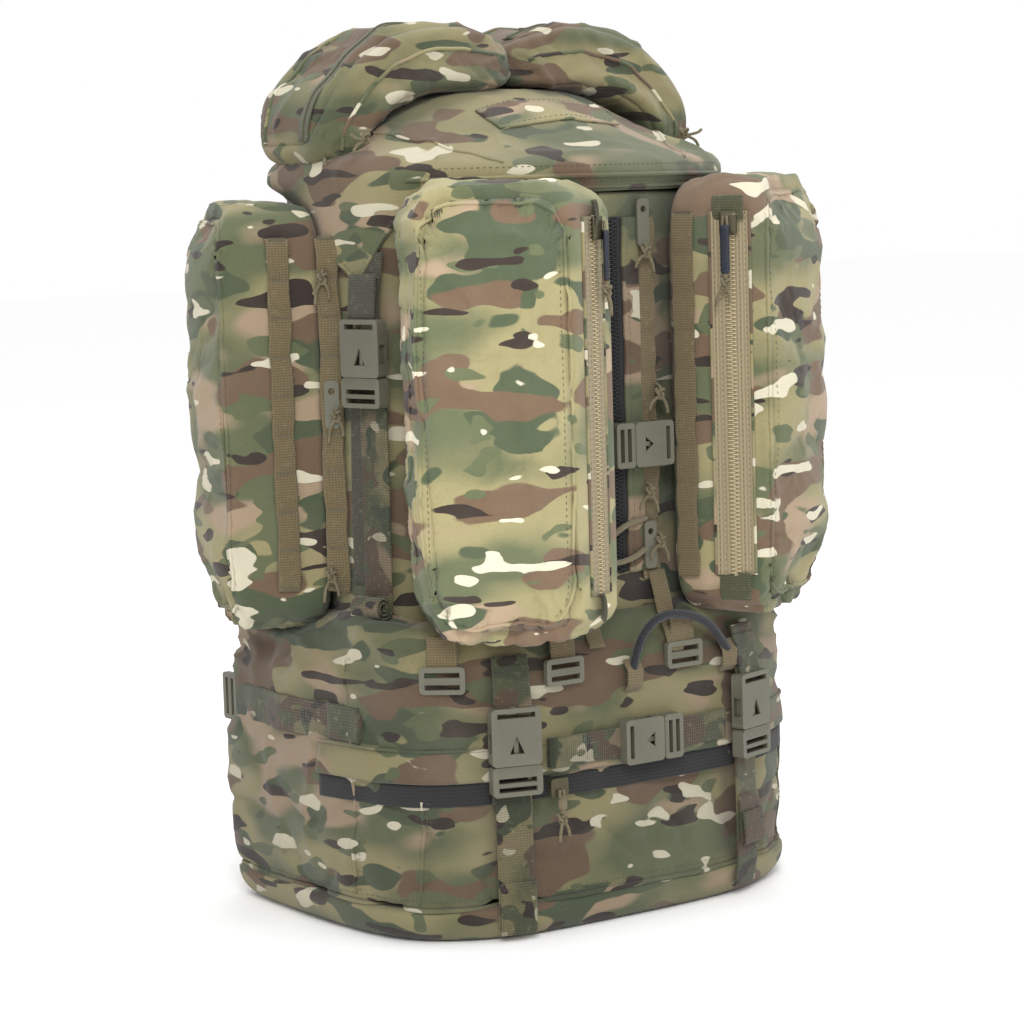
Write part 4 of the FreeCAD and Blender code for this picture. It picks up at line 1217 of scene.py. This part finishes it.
def small_webs():
    """Anchors of the ladder locks, centre tabs, knotted ties and the cord loop beside them."""
    parts, cords = [], []
    bag_face = Face(0, BAG_FRONT, 0)
    for x in (-62, 38):
        pts = bag_face([(x, 0.2, 204), (x, 0.9, 198), (x, 1.6, 188), (x, 2.6, 181)])
        parts.append(strip(resample(pts, 2.0), -bag_face.right, 20, 1.4))
    corner = Face(139, -114.8, 41, -1)
    pts = corner([(0, 0.2, 204), (0, 1.2, 194), (0, 2.6, 181)])
    parts.append(strip(resample(pts, 2.0), corner.right, 20, 1.4))
    for x, y, z in ((-6, -142.5, 168), (76, -141.5, 172)):
        tab = line((x, y + 1.5, z + 9), (x, y - 3.8, z + 2), (x, y - 3.4, z - 8), (x, y + 1.0, z - 12),
                   step=1.5)
        parts.append(strip(tab, [1, 0, 0], 13, 1.4))
    body = Face(0, BODY_FRONT, 0)
    strap = body([(-30, 1.0, 226), (-31, 6.0, 214), (-32, 9.0, 205), (-33, 12.0, 196), (-33, 17.6, 188)])
    parts.append(strip(resample(strap, 2.0), -body.right, 13, 1.4))
    strap = body([(30, 1.0, 232), (30, 7.0, 216), (30, 10.0, 204), (31, 15.5, 194), (31, 19.6, 184),
                  (31, 18.4, 178)])
    parts.append(strip(resample(strap, 2.0), -body.right, 14, 1.4))
    piece("anchor_webs", parts, WEBBING, "pack")
    for side in (-1, 1):
        edge = Face(157, -20.2, 38, side)
        for z, dx in ((436, 3), (345, -3), (238, 4)):
            at = edge([(dx, 6.2, z)])[0]
            tails = [tuple(edge.right * 5 + [0, 0, -16]), tuple(edge.right * -4 + [0, 0, -12])]
            cords += knotted_cord(at, tails, z + side)
            hitch = resample([at + edge.out * -3 + [0, 0, 5], at + edge.out * 1.5 + [0, 0, 4], at], 1.2)
            cords.append(tube(hitch, 1.05, 7))
        chain = Face(28, BODY_FRONT, 0, side)
        for z, dx in ((447, -4), (352, 5), (286, -5), (252, 3)):
            at = chain([(dx, 6.0, z)])[0]
            tails = [tuple(chain.right * -9 + [0, -1, -9]), tuple(chain.right * 5 + [0, -1, -12])]
            cords += knotted_cord(at, tails, z * 1.3 + side)
            cords.append(tube(resample([at + [0, 4, 6], at + [0, -1, 4], at], 1.2), 1.05, 7))
    loop = resample(body([(22, 1.5, 268), (2, 6.0, 266), (-16, 10.0, 258), (-26, 9.0, 246), (-14, 7.0, 240),
                          (6, 6.5, 242), (22, 1.8, 248)]), 2.0)
    piece("tie_cords", cords, CORD, "pack")
    piece("tie_loop", [tube(loop, 2.0, 8)], CORD, "pack")


def storm_flap(bvh):
    """Fabric flap over the lower zip, with the zip's dark tape under its edge."""
    ang = np.linspace(-84, 84, 190)
    flat = polar(ang, bag_plan(ang), 0 * ang)
    out = outward_xy(flat)
    rows = []
    wob = np.array([noise.noise(Vector((a / 9.0, 0.2, 0.7))) for a in ang])
    for z, lift in ((130, -0.6), (128, 0.5), (121, 1.4), (115, 2.2), (111, 2.9), (109, 3.2), (108, 2.4),
                    (110, 1.5)):
        pts = flat.copy()
        pts[:, 2] = z + wob * 0.8
        rows.append(drape(pts, out, bvh, 0.0, smooth=6) + out * (lift + wob * 0.5)[:, None])
    verts = np.concatenate(rows)
    faces = grid_faces(len(rows), len(ang), wrap=False)
    obj = piece("storm_flap", [(verts, faces)], CAMO["bag"], "pack", flip=True)
    obj.modifiers.new("thick", "SOLIDIFY").thickness = -0.5 * MM
    flat[:, 2] = 99.5
    mid = drape(flat, out, bvh, 0.5, smooth=6)
    piece("lower_zip_tape", [strip(mid, [0, 0, 1], 15, 0.7)], BLACK_TAPE, "pack", ["lower_zip"])
    flat[:, 2] = 126.0
    edge = drape(flat, out, bvh, 0.9, smooth=6)
    return [stitches(edge, out, 2.6, 1.5)], [tube(edge + [0, 0, 3.0], 1.1, 7)]


def bag_seams(bvh):
    """Topstitched panel seams of the lower bag and the seam round its base."""
    rows, ridges = storm_flap(bvh)
    for angle, z1 in ((-75, 188), (75, 188), (-58, 96), (58, 96), (-140, 188), (140, 188)):
        z = np.arange(z1, 26, -3.0)
        bend = angle + 1.3 * np.sin((z - 26) / 40.0)
        flat = polar(bend, bag_plan(bend), z)
        out = outward_xy(flat)
        mid = drape(flat, out, bvh, 0.0, smooth=2)
        ridges.append(tube(mid + out * 0.1, 1.35, 7))
        tangent = np.stack([-out[:, 1], out[:, 0], 0 * z], 1)
        for k in (3.2, 5.4):
            rows.append(stitches(mid + tangent * k * (1 if angle < 0 else -1) + out * 0.2, out))
    ang = np.linspace(-180, 180, 400)
    flat = polar(ang, bag_plan(ang), 0 * ang + BAG_LOW + 3)
    out = outward_xy(flat)
    base = drape(flat, out, bvh, 0.0, smooth=2)
    base[:, 2] = BAG_LOW + 1.0
    ridges.append(tube(base + out * 0.3, 1.7, 7))
    flat[:, 2] = BAG_LOW + 7
    rows.append(stitches(drape(flat, out, bvh, 0.25, smooth=1), out))
    piece("bag_seam_stitching", rows, STITCH, "pack")
    piece("bag_seam_piping", ridges, CAMO["bag"], "pack")


def pouch_seams():
    """Turned seams round each pouch's face, with topstitching."""
    rows = []
    specs = (("pouch_front_left", front_place(-1), -1, "front_left"),
             ("pouch_front_right", front_place(1), 1, "front_right"),
             ("pouch_side_left", SIDE_POUCH, -1, "side_left"),
             ("pouch_side_right", SIDE_POUCH, 1, "side_right"))
    for node, place, side, key in specs:
        face = Face(*place, side)
        bvh = tree(pouches[key])
        ridges = []
        low, top = node_low(node), node_top(node)
        mid_z, hz, r = (low + top) / 2, (top - low) / 2, 28
        inner_x, outer_x = (POUCH_HALF + swell[4] for swell in WALLS[key])
        loop = []
        for cx, cz, a0 in ((outer_x - r, hz - r, 0), (r - inner_x, hz - r, 90), (r - inner_x, r - hz, 180),
                           (outer_x - r, r - hz, 270)):
            a = np.radians(np.linspace(a0, a0 + 90, 14))
            loop.append(np.stack([cx + r * np.cos(a), cz + r * np.sin(a)], 1))
        loop = np.concatenate(loop)
        loop = spaced(np.concatenate([loop, loop[:1]]), 2.5)
        along = unit(np.gradient(loop, axis=0))
        way = np.stack([along[:, 1], 0 * along[:, 0] + 1.1, -along[:, 0]], 1)
        flat = face(np.stack([loop[:, 0], 0 * loop[:, 0] + POUCH_DEPTH - 5, loop[:, 1] + mid_z], 1))
        out = unit(face(way) - face([(0, 0, 0)]))
        ring = drape(flat, out, bvh, 0.0, reach=22, smooth=1)
        ridges.append(tube(ring + out * 0.1, 1.3, 7))
        inner = np.stack([loop[:, 0] - way[:, 0] * 5, 0 * loop[:, 0] + POUCH_DEPTH,
                          loop[:, 1] - way[:, 2] * 5 + mid_z], 1)
        rows.append(stitches(drape(face(inner), face.out, bvh, 0.15, smooth=1), face.out))
        z = np.arange(top - 12, low + 14, -3.0)
        for n_wall in (34, 62):
            flat = face(np.stack([0 * z + POUCH_HALF, 0 * z + n_wall, z], 1))
            ridges.append(tube(drape(flat, face.right, bvh, 0.1, smooth=2), 0.9, 6))
        piece("pouch_piping_" + key, ridges, CAMO[key], "pack")
    piece("pouch_stitching", rows, STITCH, "pack")


def lid_details(bvh):
    ridges, rows, tabs = [], [], []
    ang = np.linspace(-104, 104, 260)
    full = lid_plan(ang) + np.exp(-(ang / 48) ** 4) * 7.0
    flat = polar(ang, full, 0 * ang + 500)
    out = outward_xy(flat)
    hem = drape(flat, out, bvh, 0.0, reach=40, smooth=2)
    near = np.abs(ang) < 62
    ridges.append(tube(hem[near] + out[near] * 0.2 + [0, 0, -2], 1.6, 7))
    flat[:, 2] = 505
    rows.append(stitches(drape(flat, out, bvh, 0.2, reach=40, smooth=1)[near], out[near]))
    skirt = np.interp(ang, *SKIRT)
    for lift, target, step in ((2.6, ridges, 0), (5.6, rows, 1)):
        pts = polar(ang, full, skirt + lift)
        pts = drape(pts, out, bvh, 0.1, reach=60, smooth=1)
        target.append(tube(pts, 1.3, 7) if step == 0 else stitches(pts, out))
    for side in (-1, 1):
        a = np.array([36, 40, 46, 56, 68, 84, 100, 118]) * side
        k = np.array([1.0, 0.97, 0.90, 0.80, 0.74, 0.74, 0.80, 0.86])
        z = np.array([499, 516, 530, 540, 545, 545, 540, 530])
        path = spaced(np.stack([k * lid_plan(a) * np.sin(np.radians(a)),
                                CENTRE_Y - k * lid_plan(a) * np.cos(np.radians(a)), z], 1), 3.0)
        seam = drape(path, [0, 0, 1], bvh, 0.1, reach=60, smooth=2)
        ridges.append(tube(seam, 1.4, 7))
        rows.append(stitches(seam + np.array([-side * 4.0, 0, 0.3]), [0, 0, 1]))
        face = Face(*LID_STRAP, side)
        across = -face.right * face.side
        stack = resample(face([(0, 0.6, 452), (0, 1.4, 442), (0, 4.6, 430), (0, 5.6, 418), (0, 6.6, 409),
                               (0, 9.8, 408.0), (0, 10.2, 414), (0, 8.8, 424), (0, 8.4, 434),
                               (0, 6.6, 438)]), 2.0)
        tabs.append(strip(stack, across, WEB, 1.6))
    piece("lid_piping", ridges, CAMO["lid"], "lid")
    piece("lid_stitching", rows, STITCH, "lid")
    piece("lid_strap_pile", tabs, DARK_WEB, "lid", ["lid_strap_tabs"])
    low, high = box_mm("id_flap")
    x = np.linspace(low.x, high.x, 40)
    rows_y = np.linspace(low.y - 2, high.y + 2, 16)
    grid = np.array([(xx, yy, (low.z + high.z) / 2) for yy in rows_y for xx in x])
    base = drape(grid, [0, -0.35, 1], bvh, 0.0, reach=40, smooth=0).reshape(len(rows_y), len(x), 3)
    edge = np.clip((x - high.x + 14) / 14, 0, 1) ** 2
    base[:, :, 2] += 1.6 + edge * 2.2
    base[:, :, 1] -= 0.6
    cloth = (base.reshape(-1, 3), grid_faces(len(rows_y), len(x), wrap=False))
    obj = piece("id_flap_cloth", [cloth], CAMO["trim"], "lid", ["id_flap"])
    obj.modifiers.new("thick", "SOLIDIFY").thickness = 1.6 * MM
    border = np.concatenate([base[1, 1:-1], base[1:-1, -2], base[-2, -2:0:-1], base[-2:0:-1, 1]])
    piece("id_flap_stitching", [stitches(border + [0, -0.4, 1.5], [0, -0.3, 1])], STITCH, "lid")


def lid_pouch_trim():
    """Zip seam, end gusset and cord pulls of the two pouches on the lid."""
    ridges, tapes, cords, rows = [], [], [], []
    for side in (-1, 1):
        bvh = tree(lid_pouches[side])
        spine = spaced(resample(LID_SPINE, 1.0), 3.0)
        for y, target in ((-18, "ridge"), (0, "zip"), (50, "ridge")):
            flat = np.stack([spine[:, 0] * side, 0 * spine[:, 0] + y, spine[:, 1]], 1)[3:-2]
            t = unit(np.gradient(flat, axis=0))
            out = np.stack([-t[:, 2] * side, 0 * t[:, 0], t[:, 0] * side], 1)
            out[:, 1] = -0.75 if y < -10 else 0.0
            out = unit(out)
            path = drape(flat, out, bvh, 0.0, reach=60, smooth=3)
            if target == "zip":
                tapes.append(strip(path + out * 0.5, [0, 1, 0], 13, 0.8))
                tapes.append(tube(path + out * 1.1, 1.1, 6))
            else:
                ridges.append(tube(path + out * 0.1, 1.4, 7))
                rows.append(stitches(path + out * 0.4 + [0, 3.4, 0], out))
        end = np.array([spine[-1][0] * side, 0, spine[-1][1]])
        at = end + np.array([side * 6.0, -14, -4])
        cords += knotted_cord(at, [(side * 3.0, -3, -16), (-side * 4.0, -2, -12)], side + 5)
        cords.append(tube(resample([at, at + [0, 6, 6], end + [0, 0, 4]], 1.5), 1.1, 7))
        at = np.array([side * 134.0, -36, 527])
        cords += knotted_cord(at, [(side * 12.0, -3, 4), (side * 10.0, -2, -8)], side + 9)
    piece("lid_pouch_piping", ridges, CAMO["trim"], "lid")
    piece("lid_pouch_stitching", rows, STITCH, "lid")
    piece("lid_pouch_zip", tapes, GREEN_WEB, "lid")
    piece("lid_cords", cords, CORD, "lid")


def lower_pull_cord():
    """Knotted cord on the lower zip's slider, hanging below the storm flap."""
    low, high = box_mm("lower_pull")
    mid = (low + high) / 2
    face = Face(0, mid.y, 0)
    rubber, cord, end = pull_parts(face, mid.x, -1.4, high.z - 1, high.z - 18)
    cord += knotted_cord(end + [0, 0, -3.0], [(-4, -2, -13), (4, -1, -10)], 3.0)
    piece("lower_pull_cord", cord + rubber, CORD, "lower_zip_pull", ["lower_pull"])


# ---- harness on the back -----------------------------------------------------------------------
def pad_shape(hx, hz, depth, corner, edge, crown, cells, channels=(), seed=0.0):
    """A foam pad in its own frame, settled as cloth over its stuffing, with sewn channels."""
    s, faces = box_grid(*cells)
    local = pillow(s, hx, hz, depth, corner, edge, crown, 1.0)
    pin = np.where(local[:, 1] < 1.5, 1.0, 0.0)
    for z in channels:
        pin = np.maximum(pin, np.exp(-((local[:, 2] - z) / 3.0) ** 4))
    groove = sum((2.6 * np.exp(-((local[:, 2] - z) / 4.5) ** 2) for z in channels), np.zeros(len(s)))
    front = np.clip(local[:, 1] / depth, 0, 1)
    local[:, 1] -= groove * front
    flat_ok = pin < 0.99
    local = inflate(local, faces, pin, 2.0, -0.02, 3.0)
    layers = [wave(local, (30, 20, 30), seed) * 0.9 * front * flat_ok]
    return crumple(local, faces, layers), faces


def back_pad_pieces():
    face = Face(0, 120.0, 180)
    bodies, trims, rows = [], [], []
    low, high = box_mm("back_pads")
    mid = (low.z + high.z) / 2
    shape, faces = pad_shape(35, (high.z - low.z) / 2, 15, 12, 6, 1.5, (22, 5, 62), (-38, 38), 3.1)
    for side in (-1, 1):
        bodies.append((face(shape + [57 * side, 0, mid]), faces))
        trims.append(tube(rim_loop(face, 57 * side, mid, 35.5, (high.z - low.z) / 2 + 0.5, 12, 2.4), 2.1, 8))
        for k in (-38, 38):
            ends = [(57 * side - 30, 14.2, mid + k), (57 * side + 30, 14.2, mid + k)]
            rows.append(stitches(face(ends), face.out))
    pads = piece("back_pad_mesh", bodies, MESH, "pack", ["back_pads"])
    low, high = box_mm("lumbar_pad")
    mid = (low.z + high.z) / 2
    shape, faces = pad_shape(high.x, (high.z - low.z) / 2, 18.5, 20, 8, 1.5, (56, 6, 30), (), 5.2)
    lumbar = piece("lumbar_pad_mesh", [(face(shape + [0, 0, mid]), faces)], MESH, "pack",
                   ["lumbar_pad"])
    trims.append(tube(rim_loop(face, 0, mid, high.x + 0.5, (high.z - low.z) / 2 + 0.5, 20, 2.6), 2.3, 8))
    piece("pad_binding", trims, WEBBING, "pack")
    piece("pad_stitching", rows, STITCH, "pack")


def rim_loop(face, cx, cz, hx, hz, r, n):
    loop = []
    for sx, sz, a0 in ((1, 1, 0), (-1, 1, 90), (-1, -1, 180), (1, -1, 270)):
        a = np.radians(np.linspace(a0, a0 + 90, 12))
        loop.append(np.stack([sx * (hx - r) + r * np.cos(a), 0 * a + n, sz * (hz - r) + r * np.sin(a)], 1))
    loop = np.concatenate(loop)
    loop = np.concatenate([loop, loop[:1]])
    return spaced(face(loop + [cx, 0, cz]), 2.5)


STRAP_PATH = [(126, 446), (150, 464), (180, 450), (190, 415), (190, 330), (176, 280), (155, 240)]


def shoulder_straps():
    path = spaced(resample(STRAP_PATH, 1.0), 4.0)
    t = unit(np.gradient(path, axis=0))
    nrm = np.stack([-t[:, 1], t[:, 0]], 1) * -1
    sec_x = np.concatenate([np.linspace(-30, 30, 17), np.linspace(30, -30, 17)])
    sec_n = np.concatenate([6 * (1 - np.abs(np.linspace(-1, 1, 17)) ** 6),
                            -6 * (1 - np.abs(np.linspace(1, -1, 17)) ** 6)])
    webs, tails = [], []
    for side, key in ((-1, "left"), (1, "right")):
        rows = []
        for i, (y, z) in enumerate(path):
            s = i / (len(path) - 1)
            wide = 1.0 - 0.22 * max(0.0, s - 0.7) / 0.3
            end = min(1.0, 0.35 + 6 * min(s, 1 - s))
            off = sec_n * end
            rows.append(np.stack([75 * side + sec_x * wide, y + nrm[i, 0] * off, z + nrm[i, 1] * off], 1))
        verts = np.concatenate(rows)
        faces = grid_faces(len(rows), len(sec_x))
        n = len(rows) * len(sec_x)
        faces += [tuple(range(len(sec_x)))[::-1], tuple(range(n - len(sec_x), n))]
        pin = np.zeros(len(verts))
        pin[np.abs(np.tile(sec_x, len(rows))) > 26] = 1.0
        verts = inflate(verts, faces, pin, 2.0, -0.02, 2.5)
        verts = verts + np.array([[0, 1, 0]]) * (wave(verts, (30, 30, 30), 7 + side) * 0.8)[:, None]
        pad = piece("shoulder_pad_" + key, [(verts, faces)], MESH, "pack",
                    ["shoulder_strap_" + key], flip=True)
        across = np.array([-1.0, 0, 0])
        narrow = 1.0 - 0.22 * np.clip(np.linspace(0, 1, len(path)) - 0.7, 0, 1) / 0.3
        for edge in (-29, 29):
            line_at = np.stack([75 * side + edge * narrow, path[:, 0], path[:, 1]], 1)
            webs.append(tube(line_at, 2.7, 8))
        top = np.stack([0 * path[:, 0] + 75 * side, path[:, 0] + nrm[:, 0] * 7.0,
                        path[:, 1] + nrm[:, 1] * 7.0], 1)
        outer = top[len(top) // 4:]
        tails.append(strip(outer, across, 20, 1.5))
        low, lift = (line(*((75 * side, y, z) for y, z in route), step=2.0) for route in
                     (((157, 232), (140, 214), (125, 203), (121.5, 190)),
                      ((176, 462), (150, 473), (124, 482), (121, 470))))
        tails += [strip(low, across, WEB, 1.6), strip(lift, across, 20, 1.6)]
    piece("shoulder_binding", webs, WEBBING, "pack")
    piece("shoulder_webs", tails, WEBBING, "pack", ["shoulder_webbing"])


def belt_wings():
    for side, key, body in ((-1, "left", "belt_left"), (1, "right", "belt_right")):
        face = Face(0, 144.4, 180)
        shape, faces = pad_shape(60, 45, 13, 18, 6, 0.4, (36, 5, 28), (), 8.4 + side)
        at = [-67 * side, 0, 143]
        wing = piece("hip_wing_mesh_" + key, [(face(shape + at), faces)], MESH, body,
                     ["hip_wing_" + key])
        trim = tube(rim_loop(face, -67 * side, 143, 60.5, 45.5, 18, 3.0), 2.2, 8)
        across = np.array([0, 0, 1.0])
        web = strip(face(line((-20 * side, 13.9, 143), (-124 * side, 13.9, 143))), across, WEB, 1.5)
        piece("hip_webbing_" + key, [trim, web], WEBBING, body)


def small_back_webs():
    up = np.array([0, 0, 1.0])
    face = Face(0, 184.0, 180)
    webs = [strip(face(line((-46, 9.4, 370), (-26, 9.4, 370))), up, 20, 1.6),
            strip(face(line((25, 9.4, 370), (46, 9.4, 370))), up, 20, 1.6)]
    piece("sternum_webs", webs, WEBBING, "sternum", ["sternum_strap"])
    low, high = box_mm("haul_loop")
    y0, y1, z0, z1 = low.y + 1, high.y - 1, low.z, high.z
    x = high.x - 10
    half = [(x, y0, z0 + 1), (x, y0 + 1, z0 + 14), (x - 6, y1 - 6, z1 - 6), (x - 16, y1 - 3, z1 - 2)]
    loop = resample([(-px, py, pz) for px, py, pz in half] + half[::-1], 2.0)
    grip = strip(loop, [0, 0.86, 0.5], 16, 2.6)
    piece("haul_loop_web", [grip], WEBBING, "haul_handle", ["haul_loop"])
    low, high = box_mm("lid_rear_strap")
    y = (low.y + high.y) / 2
    strap = resample([(0, y, high.z), (0, y + 0.2, high.z - 40), (0, y, low.z + 30), (0, y, low.z)], 3.0)
    piece("lid_rear_web", [strip(strap, [-1, 0, 0], WEB, 1.5)], WEBBING, "lid",
          ["lid_rear_strap"])


HARD = {PLASTIC: ["attachment_strips", "lid_buckle_sockets", "lid_buckle_prongs_left", "lid_buckle_prongs_right",
                  "lower_buckle_sockets", "lower_buckle_prongs_left", "lower_buckle_prongs_right",
                  "cross_buckle_sockets", "centre_buckle_prongs", "cross_buckle_prongs", "hip_buckle_socket",
                  "hip_buckle_prongs", "sternum_socket", "sternum_prongs", "side_strap_glides", "strap_adjusters"],
        SHEET: ["frame_sheet"], ALUMINIUM: ["frame_stays"],
        ENAMEL: ["lower_slider"]}


def paint_hard_parts():
    for material, names in HARD.items():
        for name in names:
            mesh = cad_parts[name].data
            if not mesh.materials:
                mesh.materials.append(material)
            for i in range(len(mesh.materials)):
                mesh.materials[i] = material


camera()
studio()
bungee_cord()
bag = lower_bag()
base_panel()
sleeve = main_sleeve()
POUCHES = {"front_left": (front_place(-1), -1, 41, 0.10), "front_right": (front_place(1), 1, 51, 0.10),
           "side_left": (SIDE_POUCH, -1, 61, 0.30), "side_right": (SIDE_POUCH, 1, 71, 0.30)}
pouches = {key: pouch("pouch_cloth_" + key, "pouch_" + key, *spec, key) for key, spec in POUCHES.items()}
lid = lid_shell()
lid_pouches = {-1: lid_pouch(-1, 81, "lid_left"), 1: lid_pouch(1, 91, "lid_right")}
surfaces = {key: tree(obj) for key, obj in pouches.items()}
surfaces.update(bag=tree(bag), sleeve=tree(sleeve), lid=tree(lid))
daisy_webbing(surfaces)
pouch_zip_pieces(surfaces)
pouch_pulls()
centre_zip(surfaces["sleeve"])
long_straps()
cross_webs(surfaces)
small_webs()
bag_seams(surfaces["bag"])
lower_pull_cord()
pouch_seams()
lid_details(surfaces["lid"])
lid_pouch_trim()
back_pad_pieces()
shoulder_straps()
belt_wings()
small_back_webs()
paint_hard_parts()
